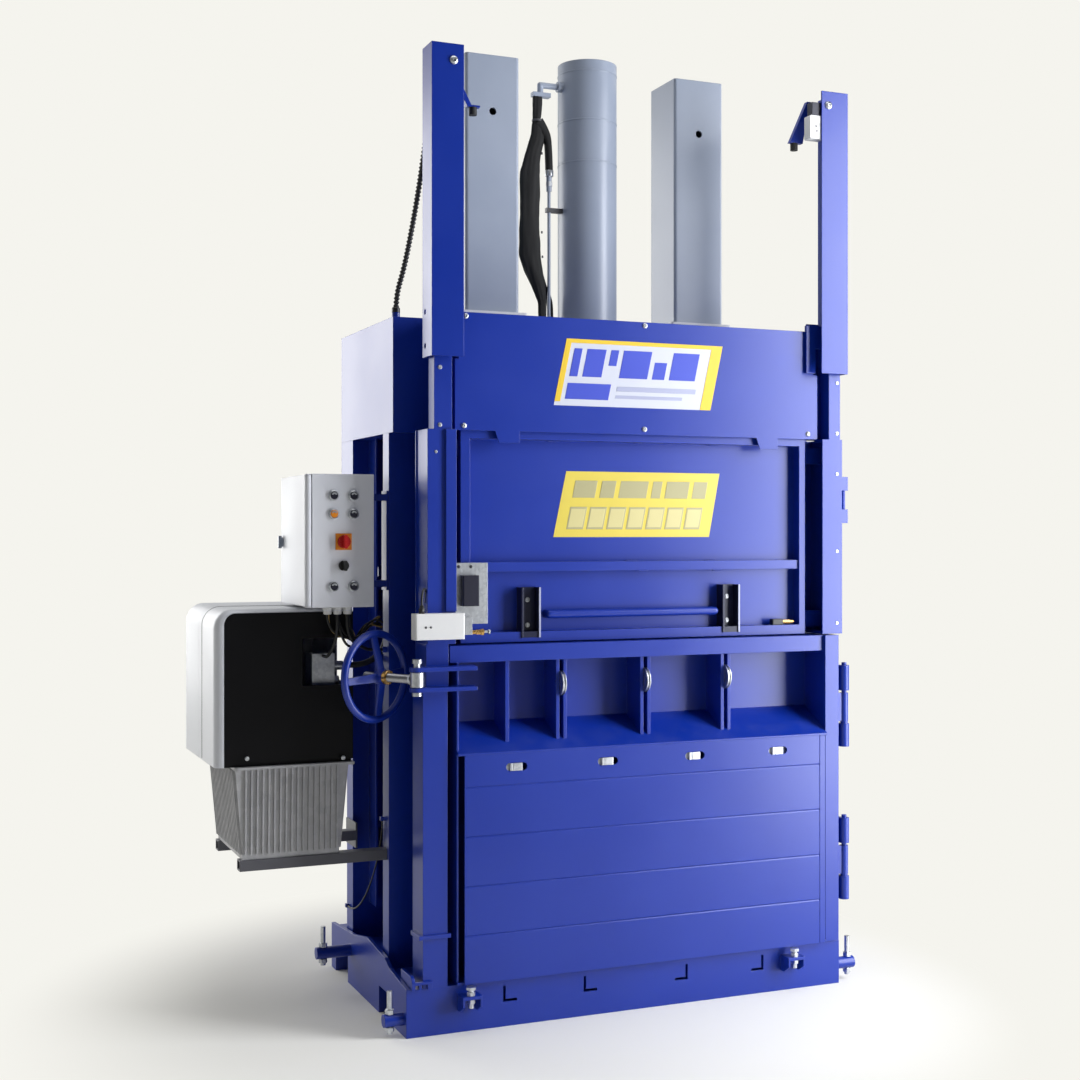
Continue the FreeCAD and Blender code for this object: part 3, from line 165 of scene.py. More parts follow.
def makeGrain(look):  # small pits and specks of cast, moulded or galvanised surfaces
    group, given = newGroup("grain", "ShaderNodeTree", {"Scale": ("Float", 300.0), "Patch Scale": ("Float", 60.0)},
                            {"Height": ("Float",), "Patches": ("Float",)})
    coords = objectCoords(group)
    cells = addNode(group, "ShaderNodeTexVoronoi", {"Vector": coords, "Scale": given["Patch Scale"]}, feature="F1")
    tone = addNode(group, "ShaderNodeSeparateColor", {0: cells.outputs["Color"]})
    height = noiseNode(group, coords, given["Scale"], *look["noise"])
    addNode(group, "NodeGroupOutput", {"Height": height, "Patches": tone.outputs[0]})
    return group


def makeBrushed(look):  # long fine lines along one axis of the object
    group, given = newGroup("brushed", "ShaderNodeTree", {"Stretch": ("Vector", (400.0, 400.0, 12.0))},
                            {"Lines": ("Float",)})
    values = {0: objectCoords(group), 1: given["Stretch"]}
    scaled = addNode(group, "ShaderNodeVectorMath", values, operation="MULTIPLY").outputs[0]
    addNode(group, "NodeGroupOutput", {"Lines": noiseNode(group, scaled, *look["noise"])})
    return group


edgeWear = makeEdgeWear(wearLook)
paintSkin = makePaintSkin(skinLook)
grain = makeGrain(grainLook)
brushed = makeBrushed(brushedLook)
shaderInputs = {"metallic": "Metallic", "ior": "IOR", "specular": "Specular IOR Level"}
heightRange = (0.3, 0.7)  # of the grain's noise
lineRange = (0.25, 0.75)  # of the brushed lines' noise


def startMaterial(name, settings):
    material = bpy.data.materials.new(name)
    material.use_nodes = True
    tree = material.node_tree
    shader = tree.nodes["Principled BSDF"]
    setInputs(tree, shader, {label: settings[key] for key, label in shaderInputs.items() if key in settings})
    return material, tree, shader


def wearOn(tree, settings):
    return placeGroup(tree, edgeWear, {"Radius": settings["edgeRadius"], "Amount": settings["wear"]})


def paintMaterial(name, settings):  # sprayed paint on steel, bare at the worn edges, dusty on top
    material, tree, shader = startMaterial(name, settings)
    wear = wearOn(tree, settings)
    skin = placeGroup(tree, paintSkin, {"Peel Scale": settings["peelScale"]})
    dust = mathNode(tree, "MULTIPLY", skin["Dust"], settings["dust"])
    colour = mixColours(tree, skin["Cloud"], settings["colour"], settings["cloud"])
    dusty = mixColours(tree, dust, colour, settings["dustColour"])
    rough = rangeNode(tree, skin["Cloud"], 0.0, 1.0, *settings["rough"], False)
    setInputs(tree, shader, {
        "Base Color": mixColours(tree, wear["Wear"], dusty, settings["worn"]),
        "Roughness": mathNode(tree, "ADD", rough, dust),
        "Normal": bumpNode(tree, skin["Peel"], settings, wear["Normal"])})
    return material


def metalMaterial(name, settings):  # bare or plated metal with fine lines or grain
    material, tree, shader = startMaterial(name, settings)
    wear = wearOn(tree, settings)
    lines = placeGroup(tree, brushed, {"Stretch": settings["stretch"]})["Lines"]
    spots = placeGroup(tree, grain, {"Scale": settings["grainScale"], "Patch Scale": settings["patchScale"]})
    colour = mixColours(tree, spots["Patches"], settings["colour"], settings["patch"])
    height = mathNode(tree, "ADD", lines, spots["Height"])
    setInputs(tree, shader, {
        "Base Color": mixColours(tree, wear["Wear"], colour, settings["worn"]),
        "Roughness": rangeNode(tree, lines, *lineRange, *settings["rough"], False),
        "Normal": bumpNode(tree, height, settings, wear["Normal"])})
    return material


def plasticMaterial(name, settings):  # moulded plastic, rubber or film
    material, tree, shader = startMaterial(name, settings)
    wear = wearOn(tree, settings)
    height = placeGroup(tree, grain, {"Scale": settings["grainScale"]})["Height"]
    colour = mixColours(tree, placeGroup(tree, paintSkin)["Cloud"], settings["colour"], settings["cloud"])
    setInputs(tree, shader, {
        "Base Color": mixColours(tree, wear["Wear"], colour, settings["worn"]),
        "Roughness": rangeNode(tree, height, *heightRange, *settings["rough"], False),
        "Normal": bumpNode(tree, height, settings, wear["Normal"])})
    return material


def clothMaterial(name, settings):  # woven cloth: two crossed rows of threads
    material, tree, shader = startMaterial(name, settings)
    height = placeGroup(tree, grain, {"Scale": settings["grainScale"]})["Height"]
    coords = objectCoords(tree)
    rows = []
    for direction, turn in (("X", settings["lean"]), ("Y", -settings["lean"])):
        rotation = (0.0, turn, settings["twist"] * turn)
        mapped = addNode(tree, "ShaderNodeMapping", {"Vector": coords, "Rotation": rotation})
        values = {"Vector": mapped.outputs[0], "Scale": settings["waveScale"], "Distortion": settings["distortion"]}
        rows.append(addNode(tree, "ShaderNodeTexWave", values, bands_direction=direction).outputs["Fac"])
    weave = mathNode(tree, "MULTIPLY", rows[0], rows[1])
    colour = mixColours(tree, placeGroup(tree, paintSkin)["Cloud"], settings["colour"], settings["cloud"])
    thread = mathNode(tree, "MULTIPLY", weave, settings["threadShare"])
    setInputs(tree, shader, {
        "Base Color": mixColours(tree, thread, colour, settings["worn"]),
        "Roughness": rangeNode(tree, height, *heightRange, *settings["rough"], False),
        "Normal": bumpNode(tree, weave, settings)})
    return material


paintBase = dict(edgeRadius=0.0022, wear=0.4, peelScale=420.0, bump=0.05, bumpDepth=0.0004, dust=0.06,
                 dustColour=(0.20, 0.22, 0.36), worn=(0.14, 0.16, 0.42), rough=(0.30, 0.35), ior=1.5)
metalBase = dict(edgeRadius=0.0008, wear=0.5, stretch=(400.0, 400.0, 30.0), grainScale=500.0, patchScale=120.0,
                 rough=(0.22, 0.42), metallic=1.0, bump=0.06, bumpDepth=0.0002, worn=(0.85, 0.85, 0.86))
plasticBase = dict(edgeRadius=0.0012, wear=0.25, grainScale=600.0, rough=(0.35, 0.5), bump=0.08, bumpDepth=0.0004,
                   ior=1.46)
paints = {
    "blue_paint": dict(colour=(0.002, 0.023, 0.270), cloud=(0.003, 0.026, 0.290)),
    "rail_paint": dict(colour=(0.085, 0.088, 0.10), cloud=(0.10, 0.10, 0.115), worn=(0.12, 0.12, 0.14),
        rough=(0.4, 0.48)),
    "grey_paint": dict(colour=(0.27, 0.31, 0.39), cloud=(0.30, 0.34, 0.42), worn=(0.5, 0.5, 0.54),
        dustColour=(0.4, 0.4, 0.4), rough=(0.28, 0.36), wear=0.3),
    "light_grey_paint": dict(colour=(0.66, 0.68, 0.72), cloud=(0.70, 0.71, 0.75), worn=(0.78, 0.78, 0.80),
        dustColour=(0.5, 0.5, 0.48), rough=(0.38, 0.48), peelScale=700.0, wear=0.2),
    "black_paint": dict(colour=(0.003, 0.003, 0.004), cloud=(0.004, 0.004, 0.005), worn=(0.05, 0.05, 0.05),
        dustColour=(0.06, 0.06, 0.06), rough=(0.3, 0.42), wear=0.3, dust=0.05, specular=0.15),
    "inner_shade": dict(colour=(0.004, 0.006, 0.030), cloud=(0.006, 0.009, 0.040), worn=(0.06, 0.07, 0.16)),
}
metals = {
    "tank_casting": dict(colour=(0.40, 0.40, 0.41), patch=(0.46, 0.46, 0.47), metallic=0.35, rough=(0.42, 0.62),
        grainScale=260.0, patchScale=40.0, bump=0.35, bumpDepth=0.0006, worn=(0.6, 0.6, 0.6),
        stretch=(60.0, 60.0, 60.0)),
    "zinc": dict(colour=(0.62, 0.64, 0.66), patch=(0.5, 0.52, 0.55), rough=(0.28, 0.45)),
    "steel": dict(colour=(0.42, 0.42, 0.43), patch=(0.35, 0.35, 0.37), rough=(0.25, 0.42)),
    "rod_chrome": dict(colour=(0.78, 0.78, 0.80), patch=(0.74, 0.74, 0.76), rough=(0.06, 0.12), bump=0.02),
    "brass": dict(colour=(0.60, 0.36, 0.12), patch=(0.52, 0.30, 0.09), rough=(0.2, 0.36), worn=(0.8, 0.6, 0.3)),
    "blued_steel": dict(colour=(0.06, 0.07, 0.16), patch=(0.04, 0.05, 0.12), rough=(0.3, 0.45), worn=(0.3, 0.3, 0.4)),
}
plastics = {
    "white_plastic": dict(colour=(0.68, 0.68, 0.68), cloud=(0.72, 0.72, 0.71), worn=(0.8, 0.8, 0.8)),
    "black_plastic": dict(colour=(0.008, 0.008, 0.009), cloud=(0.012, 0.012, 0.012), worn=(0.05, 0.05, 0.05),
        rough=(0.3, 0.45)),
    "dark_plastic": dict(colour=(0.010, 0.010, 0.022), cloud=(0.014, 0.014, 0.03), worn=(0.06, 0.06, 0.09),
        rough=(0.3, 0.45)),
    "red_plastic": dict(colour=(0.40, 0.008, 0.010), cloud=(0.46, 0.012, 0.012), worn=(0.6, 0.1, 0.1),
        rough=(0.2, 0.32)),
    "green_plastic": dict(colour=(0.02, 0.16, 0.05), cloud=(0.025, 0.19, 0.06), worn=(0.2, 0.4, 0.2),
        rough=(0.2, 0.32)),
    "orange_plastic": dict(colour=(0.72, 0.22, 0.012), cloud=(0.78, 0.26, 0.016), worn=(0.85, 0.5, 0.2),
        rough=(0.25, 0.38)),
    "hose_rubber": dict(colour=(0.010, 0.010, 0.011), cloud=(0.016, 0.016, 0.016), worn=(0.04, 0.04, 0.04),
        rough=(0.45, 0.62), grainScale=900.0, bump=0.3),
    "buffer_rubber": dict(colour=(0.012, 0.012, 0.013), cloud=(0.018, 0.018, 0.018), worn=(0.05, 0.05, 0.05),
        rough=(0.5, 0.68), bump=0.25),
    "dark_tie": dict(colour=(0.055, 0.055, 0.06), cloud=(0.07, 0.07, 0.075), worn=(0.12, 0.12, 0.12)),
    "film_white": dict(colour=(0.54, 0.56, 0.64), cloud=(0.57, 0.59, 0.66), worn=(0.7, 0.7, 0.7), rough=(0.3, 0.4)),
    "film_yellow": dict(colour=(0.70, 0.48, 0.03), cloud=(0.74, 0.51, 0.04), worn=(0.8, 0.7, 0.3), rough=(0.3, 0.4)),
    "film_blue": dict(colour=(0.045, 0.07, 0.48), cloud=(0.05, 0.08, 0.50), worn=(0.3, 0.3, 0.5), rough=(0.3, 0.4)),
    "film_grey": dict(colour=(0.36, 0.38, 0.52), cloud=(0.38, 0.40, 0.54), worn=(0.5, 0.5, 0.6), rough=(0.3, 0.4)),
    "film_gold": dict(colour=(0.62, 0.50, 0.07), cloud=(0.66, 0.53, 0.08), worn=(0.8, 0.7, 0.3), rough=(0.3, 0.42)),
    "film_shade": dict(colour=(0.36, 0.33, 0.17), cloud=(0.39, 0.36, 0.19), worn=(0.5, 0.5, 0.3), rough=(0.3, 0.42)),
    "film_pale": dict(colour=(0.55, 0.49, 0.22), cloud=(0.58, 0.52, 0.24), worn=(0.8, 0.7, 0.3), rough=(0.3, 0.42)),
    "tank_orange": dict(colour=(0.68, 0.21, 0.012), cloud=(0.72, 0.24, 0.015), worn=(0.8, 0.5, 0.2), rough=(0.3, 0.42)),
    "wire_tan": dict(colour=(0.30, 0.20, 0.05), cloud=(0.34, 0.23, 0.07), worn=(0.4, 0.3, 0.1)),
}
threadPitch = 0.0016
cloths = {
    "sleeve_cloth": dict(colour=(0.0085, 0.0085, 0.009), cloud=(0.014, 0.014, 0.014), worn=(0.03, 0.03, 0.03),
        rough=(0.6, 0.8), bump=0.5, bumpDepth=0.0005, specular=0.25, lean=0.9, twist=0.4,
        waveScale=0.314 / threadPitch, distortion=0.6, threadShare=0.6),
}
finishes = {}
for maker, base, looks in ((paintMaterial, paintBase, paints), (metalMaterial, metalBase, metals),
                           (plasticMaterial, plasticBase, plastics), (clothMaterial, plasticBase, cloths)):
    for name, look in looks.items():
        finishes[name] = maker(name, base | look)
slotOf = {entry["node"]: entry["material_slot"] for entry in frame["record"]["subparts"]}
for name, item in nodes.items():
    item.data.materials.clear()
    item.data.materials.append(finishes[slotOf[name]])
print("stage: materials", len(finishes))


# geometry node trees: heads on points, ribbed tube

def closeTree(tree, geometry, material):  # plain geometry in one material
    real = addNode(tree, "GeometryNodeRealizeInstances", {0: geometry})
    finish = addNode(tree, "GeometryNodeSetMaterial", {"Geometry": real.outputs[0], "Material": material})
    addNode(tree, "NodeGroupOutput", {0: finish.outputs[0]})
    return tree


def attributeNode(tree, name, kind):
    return addNode(tree, "GeometryNodeInputNamedAttribute", {"Name": name}, data_type=kind).outputs[0]


def makeHeadTree():  # one head on every point, turned by its own attribute and by a seeded twist
    tree, given = newGroup("headsOnPoints", "GeometryNodeTree", {
        "Geometry": ("Geometry",), "Head": ("Object",), "Twist Seed": ("Int", 4),
        "Material": ("Material",)}, {"Geometry": ("Geometry",)})
    head = addNode(tree, "GeometryNodeObjectInfo", {"Object": given["Head"]})
    limits = {2: 0.0, 3: 2 * math.pi, "Seed": given["Twist Seed"]}
    twist = addNode(tree, "FunctionNodeRandomValue", limits, data_type="FLOAT")
    spin = addNode(tree, "FunctionNodeAxisAngleToRotation", {"Angle": twist.outputs[1]})
    turns = {0: attributeNode(tree, "facing", "FLOAT_VECTOR"), 1: spin.outputs[0]}
    facing = addNode(tree, "FunctionNodeRotateRotation", turns, rotation_space="LOCAL")
    placed = addNode(tree, "GeometryNodeInstanceOnPoints", {
        "Points": given["Geometry"], "Instance": head.outputs["Geometry"], "Rotation": facing.outputs[0],
        "Scale": attributeNode(tree, "size", "FLOAT")})
    return closeTree(tree, placed.outputs[0], given["Material"])


def makeRibTree():  # a tube along the edges, its radius in waves of the given pitch
    tree, given = newGroup("ribbedTube", "GeometryNodeTree", {
        "Geometry": ("Geometry",), "Radius": ("Float", 0.008), "Pitch": ("Float", 0.005),
        "Depth": ("Float", 0.12), "Step": ("Float", 0.00125), "Uneven": ("Float", 0.0), "Sides": ("Int", 12),
        "Material": ("Material",)}, {"Geometry": ("Geometry",)})
    curve = addNode(tree, "GeometryNodeMeshToCurve", {0: given["Geometry"]})
    spans = {"Curve": curve.outputs[0], "Length": given["Step"]}
    even = addNode(tree, "GeometryNodeResampleCurve", spans, mode="LENGTH")
    along = addNode(tree, "GeometryNodeSplineParameter").outputs["Length"]
    phase = mathNode(tree, "MULTIPLY", mathNode(tree, "DIVIDE", along, given["Pitch"]), 2 * math.pi)
    wave = mathNode(tree, "MULTIPLY", mathNode(tree, "SINE", phase), given["Depth"])
    roughness = {"Scale": 260.0, "Detail": 2.0, "W": 3.0}
    rough = addNode(tree, "ShaderNodeTexNoise", roughness, noise_dimensions="4D").outputs["Fac"]
    uneven = mathNode(tree, "MULTIPLY", mathNode(tree, "SUBTRACT", rough, 0.5), given["Uneven"])
    swell = mathNode(tree, "ADD", 1.0, mathNode(tree, "ADD", wave, uneven))
    radius = mathNode(tree, "MULTIPLY", swell, given["Radius"])
    sized = addNode(tree, "GeometryNodeSetCurveRadius", {"Curve": even.outputs[0], "Radius": radius})
    outline = addNode(tree, "GeometryNodeCurvePrimitiveCircle", {"Resolution": given["Sides"], "Radius": 1.0})
    reading = addNode(tree, "GeometryNodeInputRadius")
    tube = addNode(tree, "GeometryNodeCurveToMesh", {
        "Curve": sized.outputs[0], "Profile Curve": outline.outputs[0], "Scale": reading.outputs[0],
        "Fill Caps": True})
    return closeTree(tree, tube.outputs[0], given["Material"])


headTree = makeHeadTree()
ribTree = makeRibTree()


def bakeTree(name, source, tree, values):  # runs a tree on a mesh and returns the plain result
    helper = linkItem(name + "Source", source)
    modifier = helper.modifiers.new("nodes", "NODES")
    modifier.node_group = tree
    for item in tree.interface.items_tree:
        if item.item_type == "SOCKET" and item.in_out == "INPUT" and item.name in values:
            modifier[item.identifier] = values[item.name]
    graph = bpy.context.evaluated_depsgraph_get()
    mesh = bpy.data.meshes.new_from_object(helper.evaluated_get(graph), preserve_all_data_layers=True, depsgraph=graph)
    bpy.data.objects.remove(helper)
    mesh.name = name
    return mesh


# mesh helpers

def addPiece(name, mesh, body, angle):
    mesh.polygons.foreach_set("use_smooth", [True] * len(mesh.polygons))
    mesh.set_sharp_from_angle(angle=math.radians(angle))
    piece = linkItem(name, mesh)
    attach(piece, body)
    return piece


def closeMesh(name, bm):
    bmesh.ops.recalc_face_normals(bm, faces=bm.faces)
    mesh = bpy.data.meshes.new(name)
    bm.to_mesh(mesh)
    bm.free()
    return mesh


def bmeshPiece(name, bm, body, materials, angle=30):
    mesh = closeMesh(name, bm)
    for material in materials:
        mesh.materials.append(finishes[material])
    return addPiece(name, mesh, body, angle)


def turnTo(direction):
    return Vector(direction).to_track_quat("Z", "Y")


def addLathe(bm, profile, origin, direction, segments):
    # profile is (radius, height) points about an axis; radius 0 closes an end
    turn = turnTo(direction)
    rows = []
    for radius, height in profile:
        row = []
        for k in range(segments if radius else 1):
            angle = 2 * math.pi * k / segments
            point = Vector((radius * math.cos(angle), radius * math.sin(angle), height))
            row.append(bm.verts.new(origin + turn @ point))
        rows.append(row)
    for low, high in zip(rows, rows[1:]):
        for k in range(segments):
            after = (k + 1) % segments
            corners = [low[k % len(low)], low[after % len(low)], high[after % len(high)], high[k % len(high)]]
            unique = list(dict.fromkeys(corners))
            if len(unique) > 2:
                bm.faces.new(unique)


def addPrism(bm, corners, depth, material=0, bevel=0.0):  # a plate from corner points, edges broken
    low = [bm.verts.new(corner) for corner in corners]
    high = [bm.verts.new(corner + Vector((0, depth, 0))) for corner in corners]
    faces = [bm.faces.new(low), bm.faces.new(high[::-1])]
    for k in range(len(low)):
        after = (k + 1) % len(low)
        faces.append(bm.faces.new([low[k], low[after], high[after], high[k]]))
    for face in faces:
        face.material_index = material
    if bevel:
        edges = list({edge for face in faces for edge in face.edges})
        made = bmesh.ops.bevel(bm, geom=edges, offset=bevel, segments=2, affect="EDGES", clamp_overlap=True)
        for face in made["faces"]:
            face.material_index = material


def addSkin(bm, rows, material=0):  # a closed skin through rows of corners, both ends capped
    for low, high in zip(rows, rows[1:]):
        for k in range(len(low)):
            after = (k + 1) % len(low)
            bm.faces.new([low[k], low[after], high[after], high[k]]).material_index = material
    for cap in (rows[0][::-1], rows[-1]):
        bm.faces.new(cap).material_index = material


def splinePoints(points):  # points read from the NURBS spline that has these control points
    curve = bpy.data.curves.new("routeLine", "CURVE")
    curve.dimensions = "3D"
    curve.resolution_u = 10
    spline = curve.splines.new("NURBS")
    spline.points.add(len(points) - 1)
    for target, point in zip(spline.points, points):
        target.co = (*point, 1.0)
    spline.order_u = 3
    spline.use_endpoint_u = True
    helper = linkItem("routeLine", curve)
    graph = bpy.context.evaluated_depsgraph_get()
    mesh = bpy.data.meshes.new_from_object(helper.evaluated_get(graph))
    out = [vertex.co.copy() for vertex in mesh.vertices]
    bpy.data.objects.remove(helper)
    bpy.data.meshes.remove(mesh)
    return out


def addTube(bm, path, sizes, segments, material=0):
    # sizes tells the (across, deep) radii at a point's share of the path
    rows = []
    side = None
    for k, point in enumerate(path):
        ahead = (path[min(k + 1, len(path) - 1)] - path[max(k - 1, 0)]).normalized()
        if side is None:
            side = ahead.orthogonal().normalized()
            if abs(ahead.x) < 0.9:
                side = (Vector((1, 0, 0)) - ahead * ahead.x).normalized()
        side = (side - ahead * side.dot(ahead)).normalized()
        deep = ahead.cross(side)
        across, depth = sizes(k / (len(path) - 1))
        row = []
        for n in range(segments):
            angle = 2 * math.pi * n / segments
            row.append(bm.verts.new(point + side * across * math.cos(angle) + deep * depth * math.sin(angle)))
        rows.append(row)
    addSkin(bm, rows, material)


def roundSize(radius):
    return lambda share: (radius, radius)


def ribbed(name, body, material, lines, values, angle=60.0):  # loose edges through each line, made a tube
    mesh = bpy.data.meshes.new(name + "Lines")
    edges = []
    start = 0
    for line in lines:
        edges += [(start + k, start + k + 1) for k in range(len(line) - 1)]
        start += len(line)
    mesh.from_pydata([point for line in lines for point in line], edges, [])
    baked = bakeTree(name, mesh, ribTree, values | {"Material": finishes[material]})
    return addPiece(name, baked, body, angle)


def addRounds(bm, rounds):  # each round: place, facing, sides, profile
    for place, facing, sides, profile in rounds:
        addLathe(bm, profile, at(*place), facing, sides)


def roundPiece(name, body, slot, finish, rounds):
    bm = bmesh.new()
    addRounds(bm, rounds)
    return bmeshPiece(name, bm, body, [finish])


# screw heads: one unit wide, standing on z = 0; each round has its sides and its profile

headShapes = {
    "hex": [(20, [(0, 0), (0.62, 0), (0.62, 0.07), (0.58, 0.09), (0.4, 0.09)]),
            (6, [(0.56, 0.08), (0.56, 0.38), (0.5, 0.44), (0.33, 0.44), (0.3, 0.41), (0, 0.41)])],
    "domed": [(20, [(0.5, 0), (0.5, 0.05), (0.46, 0.15), (0.36, 0.24), (0.24, 0.275)]),
              (6, [(0.24, 0.275), (0.2, 0.275), (0.19, 0.12), (0, 0.1)])],
    "cap": [(20, [(0.5, 0), (0.5, 0.06), (0.47, 0.08), (0.36, 0.08), (0.36, 0.22), (0.32, 0.26), (0.17, 0.26),
                  (0.16, 0.14), (0, 0.13)])],
}
uprightPlaces = (370, 1053)  # left edges of the flap's two dark uprights
screws = {  # places: x, y, z, width in millimetres; all face the front
    "coverScrews": {"head": "domed", "seed": 3, "places": [
        (x, 20, z, 17) for x, z in ((183, 1767), (774, 2089), (772, 1771), (1358, 2093), (1358, 1771), (189, 2088))]},
    "towerButtons": {"head": "domed", "seed": 8, "places": [(134, -30, 2817, 26), (1403, -30, 2820, 26)]},
    "guideScrews": {"head": "cap", "seed": 5, "places": [(1455, 0, z, 11) for z in (1937, 1774, 1643, 1394, 1162)]
                    + [(102, 0, 1933, 13), (102, 0, 1766, 13), (90, 0, 1688, 9)]},
    "switchScrews": {"head": "domed", "seed": 2, "slot": "white_plastic", "finish": "dark_tie", "places": [
        (1360, -25, 2751, 6), (1363, -25, 2736, 6), (46, -40, 1182, 7), (61, -40, 1182, 7)]},
    "uprightBolts": {"head": "cap", "seed": 6, "body": "loading_flap", "places": [
        (x + 31, 62.7, z, 15) for x in uprightPlaces for z in (1176, 1252)]},
    "cornerBolts": {"head": "hex", "seed": 4, "finish": "blued_steel",
                    "places": [(1360, 16.5, 2110, 12), (1384, 16.5, 2110, 12)]},
    "tankStuds": {"head": "cap", "seed": 4, "places": [(-409, 236, 796, 13), (-121, 236, 783, 13)]},
    "plateScrews": {"head": "domed", "seed": 4, "finish": "dark_tie", "places": [
        (167, 20, 1354, 10), (205, 20, 1354, 10)]},
}


def makeHeadShape(name, rounds):
    bm = bmesh.new()
    for sides, profile in rounds:
        addLathe(bm, profile, Vector(), up, sides)
    return linkItem(name, closeMesh(name, bm))


def makeScrews(name, settings, shape):
    mesh = bpy.data.meshes.new(name + "Points")
    mesh.from_pydata([at(*place[:3]) for place in settings["places"]], [], [])
    mesh.attributes.new("facing", "FLOAT_VECTOR", "POINT")
    mesh.attributes.new("size", "FLOAT", "POINT")
    for k, place in enumerate(settings["places"]):
        mesh.attributes["facing"].data[k].vector = turnTo(front).to_euler()
        mesh.attributes["size"].data[k].value = place[3] / 1000
    finish = finishes[settings.get("finish", "zinc")]
    baked = bakeTree(name, mesh, headTree, {"Head": shape, "Twist Seed": settings["seed"], "Material": finish})
    addPiece(name, baked, settings.get("body", "frame"), 30)


shapes = {name: makeHeadShape(name + "Head", rounds) for name, rounds in headShapes.items()}
for name, settings in screws.items():
    makeScrews(name, settings, shapes[settings["head"]])
for shape in shapes.values():
    bpy.data.objects.remove(shape)
print("stage: screws")


# sleeve over the hoses, hose arm and ties

sleeveSettings = {
    "route": [(-0.131, 0.031, 2.100), (-0.131, 0.031, 2.168), (-0.145, 0.031, 2.263), (-0.163, 0.031, 2.355),
              (-0.168, 0.031, 2.443), (-0.167, 0.031, 2.549), (-0.159, 0.031, 2.654), (-0.146, 0.031, 2.761),
              (-0.146, 0.031, 2.881)],
    # outline: height, left and right edge in millimetres
    "edges": [(2100, 594, 621), (2165, 594, 621), (2210, 592, 621), (2259, 569, 618), (2307, 545, 610),
              (2356, 529, 602), (2431, 529, 598), (2530, 529, 596), (2631, 531, 599), (2663, 539, 599),
              (2692, 546, 601), (2714, 553, 606), (2734, 559, 612), (2759, 567, 612), (2784, 571, 606),
              (2804, 574, 601), (2815, 574, 603), (2875, 574, 607)],
    "sides": 36, "deep": 0.62, "seed": 7, "crease": 0.0042, "foldScale": (3.1, 9), "fineScale": (9, 26),
    "foldWidth": 0.018, "foldShare": 0.7, "fineShare": 0.45,
}
armSettings = {
    "route": [(-0.140, 0.031, 2.800), (-0.124, 0.031, 2.781), (-0.106, 0.031, 2.750), (-0.101, 0.031, 2.705),
              (-0.099, 0.031, 2.632)],
    "low": [(-0.127, 0.040, 2.300), (-0.112, 0.046, 2.258), (-0.090, 0.050, 2.222), (-0.087, 0.050, 2.170),
            (-0.087, 0.050, 2.102)],
    "shoulder": 0.021, "taper": 0.0085, "taperRate": 1.5, "deep": 0.0135, "lowRadius": 0.0105,
}
tieSettings = {
    "round": ((588, 440, 2800), up, 24, [(0.0152, 0), (0.0166, 0.001), (0.0166, 0.006), (0.0152, 0.007)]),
    "tails": ((598, 2690), (598, 2432), (600, 2352)), "front": 426, "thick": 0.003, "bevel": 0.0006,
}


def makeSleeve(settings):
    bm = bmesh.new()
    rows = []
    for point in splinePoints(settings["route"]):
        level = point.z * 1000
        for low, high in zip(settings["edges"], settings["edges"][1:]):
            if level <= high[0]:
                break
        share = min(max((level - low[0]) / (high[0] - low[0]), 0), 1)
        ends = [(low[k] + (high[k] - low[k]) * share - originX) / 1000 for k in (1, 2)]
        middle, half = (ends[0] + ends[1]) / 2, (ends[1] - ends[0]) / 2
        row = []
        for k in range(settings["sides"]):
            angle = 2 * math.pi * k / settings["sides"]
            out = Vector((math.cos(angle), settings["deep"] * math.sin(angle), 0))
            wide, tall = settings["foldScale"]
            fold = noise.noise(Vector((out.x * wide, out.y * wide + settings["seed"], point.z * tall)))
            wide, tall = settings["fineScale"]
            fine = noise.noise(Vector((out.x * wide, out.y * wide, point.z * tall + settings["seed"])))
            folds = fold * half / settings["foldWidth"] * settings["foldShare"] + settings["fineShare"] * fine
            size = half + settings["crease"] * folds
            row.append(bm.verts.new(Vector((middle, point.y, point.z)) + out * size))
        rows.append(row)
    addSkin(bm, rows)
    piece = bmeshPiece("hoseSleeve", bm, "frame", ["sleeve_cloth"], 80)
    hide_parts("hose_sleeve")


def makeArm(settings):
    def sizes(share):
        narrowing = settings["taper"] * min(share * settings["taperRate"], 1)
        return settings["shoulder"] - narrowing, settings["deep"]

    bm = bmesh.new()
    addTube(bm, splinePoints(settings["route"]), sizes, 16)
    addTube(bm, splinePoints(settings["low"]), roundSize(settings["lowRadius"]), 14)
    piece = bmeshPiece("hoseArm", bm, "frame", ["sleeve_cloth"], 80)
    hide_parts("branch_hose")


def makeTies(settings):
    bm = bmesh.new()
    addRounds(bm, [settings["round"]])
    y = settings["front"]
    for x, z in settings["tails"]:
        corners = [at(x, y, z), at(x + 6, y, z + 1), at(x + 5, y, z + 9), at(x, y, z + 8)]
        addPrism(bm, corners, settings["thick"], 0, settings["bevel"])
    bmeshPiece("sleeveTies", bm, "frame", ["dark_tie"])


makeSleeve(sleeveSettings)
makeArm(armSettings)
makeTies(tieSettings)
print("stage: sleeve")


# corrugated conduit on the left tower

conduitSettings = {
    "route": [(-0.641, -0.324, 2.680), (-0.641, -0.324, 2.630), (-0.647, -0.311, 2.560), (-0.657, -0.287, 2.450),
              (-0.669, -0.259, 2.340), (-0.681, -0.227, 2.240), (-0.695, -0.194, 2.165), (-0.695, -0.194, 2.115)],
    "ribs": {"Radius": 0.0078, "Pitch": 0.0115, "Depth": 0.21, "Step": 0.0019, "Sides": 12},
}
conduit = ribbed("sensorConduit", "frame", "black_plastic",
                 [splinePoints(conduitSettings["route"])], conduitSettings["ribs"])
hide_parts("sensor_conduit")
print("stage: conduit")


# labels: plain fields of colour on thin film

